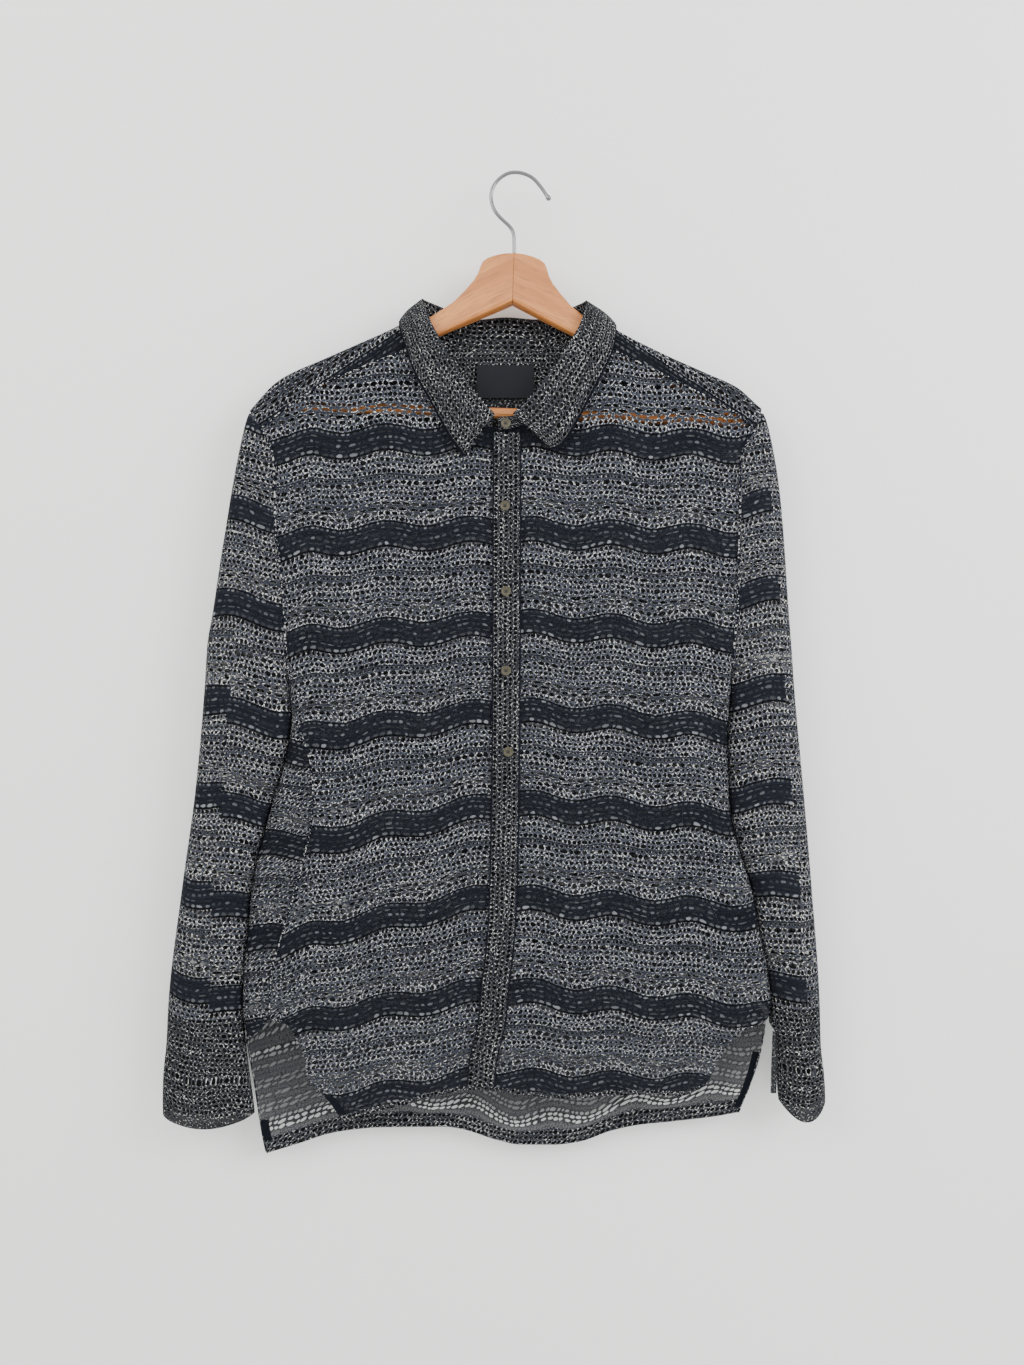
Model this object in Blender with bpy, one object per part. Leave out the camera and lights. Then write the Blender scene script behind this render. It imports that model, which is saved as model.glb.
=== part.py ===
# A sheer knit shirt on a wooden hanger, hung flat. Metres, +Z up, the front faces -Y.
# The origin is the inner top of the hook, where the hanger rests on its peg.
# Left and right are the sides as seen from the front. Tables hold millimetres.

import math

import bmesh
import bpy
import numpy as np

MM = 0.001

# Cloth
WALL = 1.5  # thickness of a knit wall
SEAM = 0.3  # clear gap between sewn pieces
ROLL = 13.0  # plan radius of the body's and sleeves' side folds
RIDGE_ROLL = 10.0  # plan radius of the fold over the shoulders
ARMHOLE_OPEN = -400.0  # above this height body and sleeve are one open tube
ARMPIT = -500.0  # below this height body and sleeve are closed
YOKE_BACK_SEAM = -262.0
CENTRE = -8.0  # the shirt hangs this far off the hook's centre line

# Shoulder fold, from the neck out: x, z
RIDGE_LEFT = [
    (-250.3, -225.1), (-241.8, -214.7), (-226.6, -198.6), (-211.4, -189.1), (-181.0, -175.8),
    (-150.6, -162.4), (-114.5, -146.3), (-104.0, -140.6), (-88.0, -134.0),
]
RIDGE_RIGHT = [
    (72.0, -134.5), (91.7, -143.4), (102.1, -150.1), (149.6, -173.9), (183.8, -189.1),
    (212.3, -202.4), (226.6, -214.7), (234.2, -222.3),
]

# Sides of the body, armhole seams above the armpit: z, left x, right x
BODY_SIDES = [
    (-935.0, -236.4, 210.0), (-919.0, -240.0, 213.0), (-892.0, -244.5, 217.1),
    (-871.0, -247.5, 225.6), (-845.0, -251.2, 233.5), (-813.0, -254.5, 239.0),
    (-790.0, -257.0, 244.6), (-758.0, -256.0, 241.8), (-714.0, -251.3, 233.0),
    (-687.0, -249.4, 228.5), (-646.0, -241.8, 216.0), (-613.0, -233.2, 207.0),
    (-592.0, -227.5, 205.0), (-568.0, -219.5, 204.0), (-536.0, -212.5, 203.0),
    (-515.0, -210.5, 204.5), (-497.0, -211.5, 205.4), (-455.0, -214.4, 207.5),
    (-411.0, -216.1, 211.0), (-370.0, -219.9, 211.8), (-335.0, -224.2, 213.0),
    (-280.0, -225.5, 213.8), (-262.0, -228.5, 217.5), (-243.0, -239.0, 229.0),
    (-225.0, -250.3, 234.4),
]

# Outer edge of each sleeve: z, left x, right x
SLEEVE_EDGE = [
    (-902.0, -333.5, 296.0), (-877.0, -334.0, 296.9), (-856.0, -333.4, 295.9),
    (-826.0, -330.4, 292.6), (-784.0, -328.2, 291.4), (-675.0, -314.9, 283.6),
    (-585.0, -302.6, 276.0), (-490.0, -294.0, 267.4), (-446.0, -291.2, 264.4),
    (-418.0, -286.4, 262.2), (-366.7, -278.8, 258.9), (-338.0, -274.1, 256.8),
    (-297.0, -267.4, 252.9), (-262.0, -260.8, 247.2), (-234.0, -254.1, 240.6),
    (-225.1, -250.3, 236.0),
]

# Inner edge of each sleeve below the slit top, where it leaves the body: z, left x, right x
SLEEVE_INNER = [
    (-902.0, -246.5, 258.0), (-891.0, -246.8, 256.5), (-878.0, -248.3, 252.4),
    (-862.0, -250.6, 251.3), (-840.0, -253.3, 251.3), (-818.0, -255.6, 251.0),
    (-800.0, -257.0, 247.5),
]

# Half thickness of the hanging garment at each height: z, front, back
DEPTHS = [
    (-935.0, 10.5, 11.0), (-860.0, 11.5, 11.5), (-760.0, 13.0, 12.5), (-620.0, 14.2, 13.2),
    (-500.0, 14.5, 13.5), (-380.0, 13.8, 13.0), (-300.0, 12.8, 12.2), (-240.0, 11.6, 11.6),
    (-190.0, 10.6, 11.2), (-120.0, 9.6, 10.2),
]

# How much rounder a sleeve is than the body beside it: z, extra half thickness
SLEEVE_SWELL = [(-902.0, 5.5), (-700.0, 5.0), (-500.0, 3.5), (-340.0, 2.0), (-250.0, 0.0)]

# Top edge of the fronts, neck curve then forward shoulder seam: x, z
FRONT_TOP_LEFT = [
    (-238.0, -244.8), (-210.0, -222.2), (-172.5, -198.7), (-151.8, -190.3), (-103.0, -171.4),
    (-88.0, -167.5), (-80.0, -173.0), (-70.0, -188.0), (-55.0, -210.0), (-38.0, -230.0),
    (-20.0, -242.0), (-6.0, -244.5),
]
FRONT_TOP_RIGHT = [
    (-10.0, -244.5), (4.0, -242.0), (22.0, -230.0), (39.0, -210.0), (54.0, -188.0),
    (64.0, -172.0), (72.0, -163.5), (95.4, -171.4), (133.0, -189.3), (158.4, -202.5),
    (201.6, -225.0), (228.0, -244.8),
]

# Hems: x, z
FRONT_HEM_LEFT = [
    (-161.0, -895.3), (-125.5, -886.0), (-94.5, -878.4), (-71.0, -871.8), (-43.0, -866.5),
    (-20.0, -866.0),
]
FRONT_HEM_RIGHT = [
    (-45.0, -865.0), (-18.0, -867.5), (7.0, -870.5), (45.6, -874.6), (92.6, -871.8),
    (119.0, -870.8), (157.4, -872.0), (181.0, -862.4),
]
BACK_HEM = [
    (-236.0, -934.5), (-204.0, -924.7), (-177.0, -916.0), (-153.0, -912.0), (-127.0, -910.0),
    (-65.0, -909.4), (-48.0, -912.0), (-17.0, -921.8), (7.0, -926.6), (39.0, -926.6),
    (63.0, -923.8), (94.5, -913.0), (121.0, -907.5), (150.0, -904.6), (198.0, -898.8),
    (217.0, -895.0),
]

# Centre front line, which leans as the tails swing left: z, x
CENTRE_FRONT = [
    (-870.0, -31.0), (-843.0, -29.0), (-797.0, -19.5), (-767.0, -17.0), (-740.0, -13.5),
    (-694.0, -10.0), (-612.0, -8.0), (-500.0, -6.8), (-240.0, -6.0),
]

# Where each piece ends, as cloth length round from the side fold: z, length.
# The shirt hangs turned, so the left side seam shows in front and the right one lies behind.
SIDE_SEAM = [
    (-790.0, 35.0), (-757.0, 36.0), (-715.0, 43.0), (-668.0, 52.0), (-626.0, 53.0),
    (-593.0, 47.0), (-556.0, 33.0), (-528.0, 18.0), (-500.0, 0.0), (-225.0, 0.0),
]
FRONT_SLIT_LEFT = [
    (-896.0, 90.5), (-877.0, 80.5), (-855.0, 64.0), (-835.0, 63.0), (-811.0, 54.0),
    (-800.0, 48.0),
]
BACK_SLIT_LEFT = [(-935.0, 0.0), (-828.0, 0.0), (-819.0, 9.0), (-809.0, 26.0), (-797.0, 35.0)]
FRONT_SLIT_RIGHT = [
    (-868.0, -56.0), (-852.0, -52.4), (-833.0, -47.0), (-818.0, -38.0), (-808.0, -26.0),
    (-800.0, -8.0), (-788.0, 17.0), (-772.0, 35.0),
]
BACK_SLIT_RIGHT = [(-935.0, 0.0), (-812.0, 0.0), (-792.0, 17.0), (-772.0, 35.0)]

# Large soft folds of the body: x at top, x at foot, top z, foot z, half width, rise
FRONT_FOLDS = [
    (-186.0, -184.0, -330.0, -600.0, 9.0, 2.4),
    (-172.0, -168.0, -360.0, -560.0, 8.0, -1.6),
    (-120.0, -150.0, -520.0, -860.0, 22.0, 1.8),
    (-70.0, -96.0, -640.0, -880.0, 18.0, -1.6),
    (60.0, 84.0, -300.0, -560.0, 24.0, 1.4),
    (150.0, 176.0, -330.0, -760.0, 18.0, 2.2),
    (120.0, 140.0, -560.0, -860.0, 16.0, -1.8),
    (40.0, 52.0, -640.0, -880.0, 22.0, 1.8),
]
BACK_FOLDS = [
    (-150.0, -170.0, -330.0, -900.0, 22.0, 2.0),
    (-70.0, -84.0, -420.0, -930.0, 24.0, -1.6),
    (0.0, 6.0, -300.0, -930.0, 26.0, 2.0),
    (90.0, 100.0, -400.0, -900.0, 22.0, -1.6),
    (150.0, 172.0, -330.0, -880.0, 20.0, 2.0),
]
# Folds that cross a sleeve: z at the outer edge, z at the inner edge, half width, rise
SLEEVE_FOLDS = [
    (-420.0, -480.0, 12.0, -2.0),
    (-520.0, -590.0, 14.0, 1.6),
    (-610.0, -660.0, 12.0, -1.8),
    (-700.0, -720.0, 13.0, 1.4),
    (-790.0, -770.0, 12.0, -1.6),
]

# Collar, from the left point round the back to the right point: roll line x, y, z, outer edge
# x, y, z, then the neck edge below it as x and the drop from the shoulder fold, less than
# nothing in front. The roll line is the fold between the stand and the leaf.
COLLAR = [
    (-17.0, -20.5, -233.0, -45.5, -19.5, -270.0, -21.0, -109.0),
    (-35.0, -21.5, -212.6, -60.0, -19.5, -250.0, -39.5, -97.0),
    (-49.0, -20.5, -190.0, -76.0, -19.0, -220.5, -57.0, -76.5),
    (-60.0, -17.5, -167.0, -92.0, -18.0, -192.0, -72.0, -54.5),
    (-69.5, -14.0, -146.0, -101.5, -15.5, -165.0, -86.5, -33.5),
    (-76.0, -12.0, -131.0, -106.5, -13.5, -148.5, -88.9, -9.0),
    (-80.5, -0.5, -119.5, -108.0, 2.0, -138.0, -89.5, 0.3),
    (-77.0, 9.5, -117.5, -104.0, 18.0, -158.0, -87.6, 9.5),
    (-62.0, 13.5, -125.0, -86.0, 19.5, -182.0, -72.5, 24.5),
    (-42.0, 16.5, -133.0, -52.0, 20.5, -198.0, -42.0, 32.5),
    (-8.0, 18.5, -130.0, -8.0, 21.0, -204.0, -8.0, 34.5),
    (26.0, 16.5, -132.5, 38.0, 20.5, -198.0, 26.0, 32.5),
    (46.0, 13.5, -126.5, 72.0, 19.5, -184.0, 56.8, 24.5),
    (60.0, 9.5, -119.5, 94.0, 18.0, -163.0, 72.3, 9.5),
    (63.5, -0.5, -120.5, 97.0, 2.0, -141.0, 73.5, 0.3),
    (59.5, -12.4, -132.0, 96.0, -11.0, -153.0, 73.5, -9.0),
    (54.0, -14.0, -147.0, 92.5, -15.5, -172.0, 70.5, -29.5),
    (44.0, -17.5, -168.5, 78.5, -18.0, -200.0, 56.0, -54.0),
    (32.0, -20.5, -190.5, 63.0, -19.0, -230.0, 41.0, -76.0),
    (18.0, -21.5, -213.5, 46.5, -19.5, -257.5, 23.5, -96.5),
    (-1.0, -20.5, -232.5, 34.0, -19.5, -264.0, 4.5, -108.5),
]
LEAF_WALL = 1.4
UNDER_WALL = 1.2
UNDER_PROUD = 3.2  # the dark under collar shows this far past the leaf
STAND_LIFT = 2.4  # the stand's outer face stands this far off the cloth it is sewn over
TAB = [(-5.0, -246.4, -234.2), (-14.2, -246.8, -234.4)]  # button tab: x, foot z, top z

# Placket, buttons and label
PLACKET_HALF = 12.6
PLACKET_TOP = -247.9
PLACKET_FOOT = -863.0
BUTTON_RADIUS = 4.7
BUTTON_THICK = 2.2
BUTTONS = [(-7.2, -240.6), (-8.0, -317.6), (-7.0, -397.6), (-7.0, -471.9), (-4.9, -547.7)]
LABEL = (-35.0, 19.7, -210.5, -179.0)  # left, right, foot, top
LABEL_THICK = 1.0
CUFF_FLAP = [(-870.5, 242.6, 248.2), (-842.0, 243.4, 249.0), (-812.0, 244.4, 248.4)]  # z, inner, outer

# Hanger, level and symmetric before it tilts: x, top z, foot z, half thickness
HANGER_TILT = math.radians(2.1)
CROWN = (0.7, -77.0)
HANGER_HALF = [
    (0.2, -77.0, -123.4, 9.0), (9.0, -77.6, -127.7, 8.9), (18.0, -79.6, -132.0, 8.6),
    (25.0, -82.4, -135.4, 8.3), (29.3, -85.6, -137.4, 8.1), (31.4, -90.0, -138.5, 8.0),
    (33.6, -97.0, -139.5, 7.9), (37.5, -104.0, -141.4, 7.7), (45.5, -113.6, -145.2, 7.3),
    (56.0, -124.4, -150.3, 6.2), (68.0, -133.0, -156.1, 5.6), (75.0, -137.8, -159.5, 5.4),
    (82.0, -141.6, -162.8, 5.3),
    (93.0, -145.6, -168.0, 5.3), (104.0, -150.6, -173.4, 5.2), (128.0, -161.8, -184.4, 5.2),
    (150.0, -173.2, -195.5, 5.2), (166.0, -180.6, -203.0, 5.2), (181.0, -188.0, -210.4, 5.2),
    (194.0, -194.2, -216.4, 5.2), (205.0, -200.0, -221.9, 5.2), (211.6, -204.2, -222.2, 5.2),
    (212.4, -204.8, -233.6, 5.2), (220.0, -211.6, -234.2, 4.9), (226.0, -219.4, -231.6, 4.2),
]
HANGER_ROUND = 3.4  # rounding of the wood's long edges
BAR_Z = -227.6
BAR_RADIUS = 5.0
BAR_END = 211.2

# Hook wire, from the ball tip over the top and down to the wood: x, z, wire radius
HOOK = [
    (34.6, -24.6, 0.9), (34.2, -23.9, 2.1), (33.2, -22.6, 2.5), (32.0, -21.0, 2.1),
    (30.8, -19.2, 1.75), (25.6, -11.6, 1.75), (18.6, -3.9, 1.75), (10.8, 0.2, 1.75),
    (3.0, 1.75, 1.75), (-4.6, 0.9, 1.75), (-11.2, -2.6, 1.75), (-16.4, -7.6, 1.75),
    (-19.8, -13.6, 1.75), (-21.3, -20.0, 1.75), (-20.7, -27.0, 1.75), (-18.4, -33.4, 1.75),
    (-14.4, -39.2, 1.75), (-9.6, -44.0, 1.75), (-4.4, -48.9, 1.75), (-1.0, -53.6, 1.75),
    (0.4, -59.6, 1.75), (0.7, -67.0, 1.75), (0.7, -76.3, 1.75),
]


def soft(rows, column=1):
    """A soft curve through one column of a table against its first column, with no overshoot."""
    rows = sorted(rows)
    at = np.array([row[0] for row in rows])
    value = np.array([row[column] for row in rows])
    step = np.diff(at)
    slope = np.diff(value) / step
    lean = np.zeros(len(at))
    lean[0] = slope[0]
    lean[-1] = slope[-1]
    for i in range(1, len(at) - 1):
        if slope[i - 1] * slope[i] > 0:
            lean[i] = 2 / (1 / slope[i - 1] + 1 / slope[i])

    def curve(t):
        t = min(max(t, at[0]), at[-1])
        i = min(int(np.searchsorted(at, t, side="right")) - 1, len(at) - 2)
        i = max(i, 0)
        s = (t - at[i]) / step[i]
        rise = s * s * (3 - 2 * s)
        near = s * (1 - s) * (1 - s) * step[i] * lean[i]
        far = s * s * (s - 1) * step[i] * lean[i + 1]
        return value[i] * (1 - rise) + value[i + 1] * rise + near + far

    return curve


def along(rows, t):
    """A point at t, from 0 to 1, on a Catmull-Rom curve through all the columns of a table."""
    rows = np.array(rows)
    at = t * (len(rows) - 1)
    i = min(int(at), len(rows) - 2)
    s = at - i
    p0, p1, p2, p3 = (rows[min(max(k, 0), len(rows) - 1)] for k in (i - 1, i, i + 1, i + 2))
    bend = 2 * p0 - 5 * p1 + 4 * p2 - p3
    twist = 3 * p1 - p0 - 3 * p2 + p3
    return 0.5 * (2 * p1 + (p2 - p0) * s + bend * s**2 + twist * s**3)


def blend(low, high, t):
    s = min(max((t - low) / (high - low), 0.0), 1.0)
    return s * s * (3 - 2 * s)


ridge_left = soft(RIDGE_LEFT)
ridge_right = soft(RIDGE_RIGHT)
side_left = soft(BODY_SIDES, 1)
side_right = soft(BODY_SIDES, 2)
edge_left = soft(SLEEVE_EDGE, 1)
edge_right = soft(SLEEVE_EDGE, 2)
inner_left = soft(SLEEVE_INNER, 1)
inner_right = soft(SLEEVE_INNER, 2)
front_depth = soft(DEPTHS, 1)
back_depth = soft(DEPTHS, 2)
swell = soft(SLEEVE_SWELL)
centre_front = soft(CENTRE_FRONT)
side_seam = soft(SIDE_SEAM)


def outline(ridge, from_x, edge):
    """The garment's outer line on one side, shoulder then sleeve, as short runs."""
    to_x = edge(-226.0)
    shoulder = [(x, ridge(x)) for x in np.linspace(from_x, to_x, 60)]
    arm = [(edge(z), z) for z in np.linspace(-228.0, -902.0, 110)]
    return np.array(shoulder + arm)


OUTLINES = {
    "left": outline(ridge_left, -88.0, edge_left),
    "right": outline(ridge_right, 72.0, edge_right),
}


def to_outline(side, x, z):
    """Plan distance from a point to the garment's outer line."""
    line = OUTLINES[side]
    start = line[:-1]
    run = line[1:] - start
    reach = np.array([x, z]) - start
    s = np.clip((reach * run).sum(1) / (run * run).sum(1), 0, 1)
    return float(np.sqrt(((reach - run * s[:, None]) ** 2).sum(1).min()))


def rounding(distance, radius):
    """How far a fold has opened, from 0 at its edge to 1 at its radius."""
    s = 1 - min(max(distance / radius, 0.0), 1.0)
    return math.sqrt(max(1 - s * s, 0.0))


def arm_open(z):
    return math.sqrt(blend(ARMPIT, ARMHOLE_OPEN, z))


def folds(table, x, z):
    total = 0.0
    for top_x, foot_x, top_z, foot_z, half_width, rise in table:
        t = (top_z - z) / (top_z - foot_z)
        if 0 < t < 1:
            middle = top_x + (foot_x - top_x) * t
            total += rise * math.exp(-(((x - middle) / half_width) ** 2)) * math.sin(math.pi * t)
    return total


def body_y(face, x, z):
    """Outer surface of body and yoke at a plan point. face is -1 in front and 1 behind."""
    side = "left" if x < CENTRE else "right"
    closed = abs(x - (side_left(z) if side == "left" else side_right(z)))
    opening = arm_open(z)
    if face > 0:
        opening = max(opening, 0.75 * blend(-815.0, -870.0, z))
    open_share = opening + (1 - opening) * rounding(closed, ROLL)
    depth = front_depth(z) if face < 0 else back_depth(z)
    if z < -300:
        depth += folds(FRONT_FOLDS if face < 0 else BACK_FOLDS, x, z) * rounding(closed, 3 * ROLL)
    lift = rounding(to_outline(side, x, z), RIDGE_ROLL) if z > -330 else 1.0
    return face * depth * open_share * lift


def sleeve_y(side, face, x, z):
    """Outer surface of a sleeve at a plan point."""
    inner = sleeve_inner(side, z)
    outer = edge_left(z) if side == "left" else edge_right(z)
    share = min(max((x - inner) / (outer - inner), 0.0), 1.0)
    opening = arm_open(z)
    inner_fold = opening + (1 - opening) * rounding(abs(x - inner), ROLL)
    radius = RIDGE_ROLL + (ROLL - RIDGE_ROLL) * blend(-260.0, -400.0, z)
    outer_fold = rounding(to_outline(side, x, z), radius)
    depth = front_depth(z) if face < 0 else back_depth(z)
    belly = (4 * share * (1 - share)) ** 2
    depth += swell(z) * belly
    for outer_z, inner_z, half_width, rise in SLEEVE_FOLDS:
        middle = inner_z + (outer_z - inner_z) * share
        depth += rise * math.exp(-(((z - middle) / half_width) ** 2)) * belly
    return face * depth * inner_fold * outer_fold


def sleeve_inner(side, z):
    """Inner edge of a sleeve: just clear of the body, then its own cuff line."""
    body = side_left(z) if side == "left" else side_right(z)
    away = 0.3 + 0.4 * (1 - arm_open(z)) + 0.5 * blend(-780.0, -800.0, z)
    clear = body - away if side == "left" else body + away
    if z >= -800.0:
        return clear
    own = inner_left(z) if side == "left" else inner_right(z)
    own = clear + (own - clear) * blend(-800.0, -818.0, z)
    return min(own, clear) if side == "left" else max(own, clear)


def thicken(name, outer, normals, faces, thick, finish):
    """A closed wall: the outer points, the same points moved inwards, and rims between."""
    outer = np.array(outer)
    normals = np.array(normals)
    normals /= np.linalg.norm(normals, axis=1)[:, None]
    thick = np.broadcast_to(np.asarray(thick, float), len(outer))
    return wall(name, outer, outer - normals * thick[:, None], faces, finish)


def face_normals(points, faces):
    """A normal for each point of a sheet, from the faces round it."""
    points = np.array(points)
    normals = np.zeros_like(points)
    for face in faces:
        a, b, c, d = points[[face[0], face[1], face[2], face[-1]]]
        normals[list(face)] += np.cross(c - a, d - b) if len(face) == 4 else np.cross(b - a, c - a)
    return normals / np.linalg.norm(normals, axis=1)[:, None]


def wall(name, outer, inner, faces, finish):
    mesh = bmesh.new()
    out_points = [mesh.verts.new(point * MM) for point in outer]
    in_points = [mesh.verts.new(point * MM) for point in inner]
    edges = {}
    for face in faces:
        mesh.faces.new([out_points[i] for i in face])
        mesh.faces.new([in_points[i] for i in reversed(face)])
        for a, b in zip(face, face[1:] + face[:1]):
            edges[(a, b)] = (b, a) not in edges
            if (b, a) in edges:
                edges[(a, b)] = edges[(b, a)] = False
    for (a, b), is_rim in edges.items():
        if is_rim:
            mesh.faces.new([out_points[b], out_points[a], in_points[a], in_points[b]])
    return finished(name, mesh, finish)


def finished(name, mesh, finish):
    bmesh.ops.triangulate(mesh, faces=mesh.faces[:])
    bmesh.ops.recalc_face_normals(mesh, faces=mesh.faces[:])
    data = bpy.data.meshes.new(name)
    mesh.to_mesh(data)
    mesh.free()
    data.shade_smooth()
    data.set_sharp_from_angle(angle=math.radians(40))
    data.materials.append(material(finish))
    piece = bpy.data.objects.new(name, data)
    bpy.context.scene.collection.objects.link(piece)
    return piece


FINISHES = {  # colour, roughness, metallic
    "melange knit": ((0.075, 0.078, 0.088), 0.9, 0.0),
    "black tulle": ((0.014, 0.017, 0.024), 0.85, 0.0),
    "beech": ((0.62, 0.38, 0.21), 0.5, 0.0),
    "chrome wire": ((0.6, 0.6, 0.6), 0.2, 1.0),
    "horn": ((0.16, 0.14, 0.11), 0.35, 0.0),
    "label satin": ((0.012, 0.015, 0.022), 0.6, 0.0),
}


def material(finish):
    found = bpy.data.materials.get(finish)
    if found:
        return found
    made = bpy.data.materials.new(finish)
    made.use_nodes = True
    shader = made.node_tree.nodes["Principled BSDF"]
    colour, roughness, metallic = FINISHES[finish]
    shader.inputs["Base Color"].default_value = (*colour, 1)
    shader.inputs["Roughness"].default_value = roughness
    shader.inputs["Metallic"].default_value = metallic
    return made


def grid_faces(rows, columns, flip=False):
    faces = []
    for j in range(rows - 1):
        for i in range(columns - 1):
            face = [j * columns + i, (j + 1) * columns + i, (j + 1) * columns + i + 1]
            face.append(j * columns + i + 1)
            faces.append(face[::-1] if flip else face)
    return faces


def plan_run(length, radius):
    """Plan distance from a fold after this much cloth has gone round it."""
    quarter = radius * math.pi / 2
    if length < quarter:
        return radius * (1 - math.cos(length / radius))
    return radius + length - quarter


def ring_point(z, p):
    """A point of the body at height z. p runs from the left fold along the front to the right
    fold, at half the way round, and back along the back."""
    left, right = side_left(z), side_right(z)
    half = right - left - 2 * ROLL + math.pi * ROLL
    face = -1 if p % (2 * half) <= half else 1
    p = p % (2 * half)
    from_left = min(p, 2 * half - p)
    from_right = abs(half - p)
    if from_left < from_right:
        x = left + plan_run(from_left, ROLL)
    else:
        x = right - plan_run(from_right, ROLL)
    return np.array([x, body_y(face, x, z), z])


def half_ring(z):
    return side_right(z) - side_left(z) - 2 * ROLL + math.pi * ROLL


def ring_at(z, x):
    """Cloth length from the left fold to a point x on the flat of the front."""
    from_left = x - side_left(z)
    from_right = side_right(z) - x
    if from_left < ROLL:
        return ROLL * math.acos(1 - max(from_left, 0.0) / ROLL)
    if from_right < ROLL:
        return half_ring(z) - ROLL * math.acos(1 - max(from_right, 0.0) / ROLL)
    return from_left - ROLL + ROLL * math.pi / 2


def ring_normal(z, p):
    """Outward direction of the body at a ring point. Open armholes are taken from one side."""
    half = half_ring(z)
    low, high = p - 0.4, p + 0.4
    if z > ARMPIT:
        least, most = (0.01, half - 0.01) if p < half else (half + 0.01, 2 * half - 0.01)
        low, high = min(max(low, least), most - 0.4), max(min(high, most), least + 0.4)
    across = ring_point(z, high) - ring_point(z, low)
    # The same share of the way round at both heights, so that the difference runs up the cloth.
    above = ring_point(z + 0.4, middle_share(z, z + 0.4, p))
    below = ring_point(z - 0.4, middle_share(z, z - 0.4, p))
    return np.cross(across, above - below)


def middle_share(z, other, p):
    """The ring length at another height which lies straight above or below p."""
    half, new_half = half_ring(z), half_ring(other)
    from_fold = [p, half - p, p - half, 2 * half - p]
    nearest = min(range(4), key=lambda k: abs(from_fold[k]))
    if abs(from_fold[nearest]) < 2 * ROLL:
        return [p, new_half - from_fold[1], new_half + from_fold[2], 2 * new_half - from_fold[3]][
            nearest
        ]
    return p * new_half / half


def face_normal(face, x, z):
    """Outward direction of body or yoke at a plan point, away from the folds."""
    slope_x = (body_y(face, x + 0.3, z) - body_y(face, x - 0.3, z)) / 0.6
    slope_z = (body_y(face, x, z + 0.3) - body_y(face, x, z - 0.3)) / 0.6
    return np.array([-face * slope_x, face, -face * slope_z])


def stepped(table, seam, z):
    """Where a piece ends: along the side seam, then along its slit."""
    lowest_seam = max(row[0] for row in table)
    return soft(table)(z) if z < lowest_seam else seam(z)


def ends_left_front(z):
    return stepped(FRONT_SLIT_LEFT, side_seam, z) + SEAM / 2


def ends_left_back(z):
    return stepped(BACK_SLIT_LEFT, side_seam, z) - SEAM / 2


def ends_right_front(z):
    return stepped(FRONT_SLIT_RIGHT, side_seam, z) - SEAM / 2


def ends_right_back(z):
    return stepped(BACK_SLIT_RIGHT, side_seam, z) + SEAM / 2


# Heights that every piece shares along the armholes and side seams
ARMHOLE_ROWS = [-226.0, -228.5, -232.0, -237.5, -244.6, -253.0, -262.0]
UPPER_ROWS = [-262.0, -281.0, -300.0]
SIDE_ROWS = [
    -300.0, -330.0, -362.0, -394.0, -426.0, -455.0, -480.0, -500.0, -522.0, -546.0, -575.0,
    -608.0, -642.0, -676.0, -710.0, -745.0, -772.0, -788.0,
]
HEM_SHARES = [0.16, 0.38, 0.62, 0.86, 1.0]
HEM_THICK = 2.2


def foot_of(foot, locate):
    """Foot height of a column, where its x meets the hem."""
    low = -880.0
    for _ in range(16):
        low = 0.5 * low + 0.5 * foot(locate(low))
    return low


def body_panel(name, columns, flip):
    """A panel from columns of (height, ring length) points, thicker in its turned hem."""
    rows = len(columns[0])
    points, normals, thick = [], [], []
    for j in range(rows):
        for column in columns:
            z, p = column[j]
            points.append(ring_point(z, p))
            normals.append(ring_normal(z, p))
            thick.append(HEM_THICK if j >= rows - 2 else WALL)
    faces = grid_faces(rows, len(columns), flip)
    return thicken(name, points, normals, faces, thick, "melange knit")


FRONT_X_LEFT = [-6.0, -29.0, -50.0, -70.0, -88.0, -118.0, -145.0, -168.0, -189.0, -208.0, -224.0]
FRONT_X_RIGHT = [
    -6.0, 20.0, 42.0, 58.0, 72.0, 98.0, 126.0, 154.0, 176.0, 190.0, 200.0, 208.0, 214.0, 219.5,
    224.0,
]
FOLD_MARKS = [-20.0, -13.0, -6.5, 0.0, 6.5, 13.0, 20.0]


def front_left_ring(z, i):
    inner = ring_at(z, centre_front(z) - SEAM / 2)
    outer = ends_left_front(z)
    share = 1 - (1 - i / 11) ** 1.15
    return inner + (outer - inner) * share


def front_right_ring(z, i):
    """Eight even columns, then eight that follow the right fold round to the back."""
    half = half_ring(z)
    inner = ring_at(z, centre_front(z) + SEAM / 2)
    end = ends_right_front(z)
    bend = -30.0 - 0.9 * max(-end, 0.0)
    if i <= 7:
        return inner + (half + bend - inner) * i / 7
    even = bend + (end - bend) * (i - 7) / 8
    marked = (FOLD_MARKS + [end])[i - 8]
    return half + even + (marked - even) * blend(0.0, 30.0, end)


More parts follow.
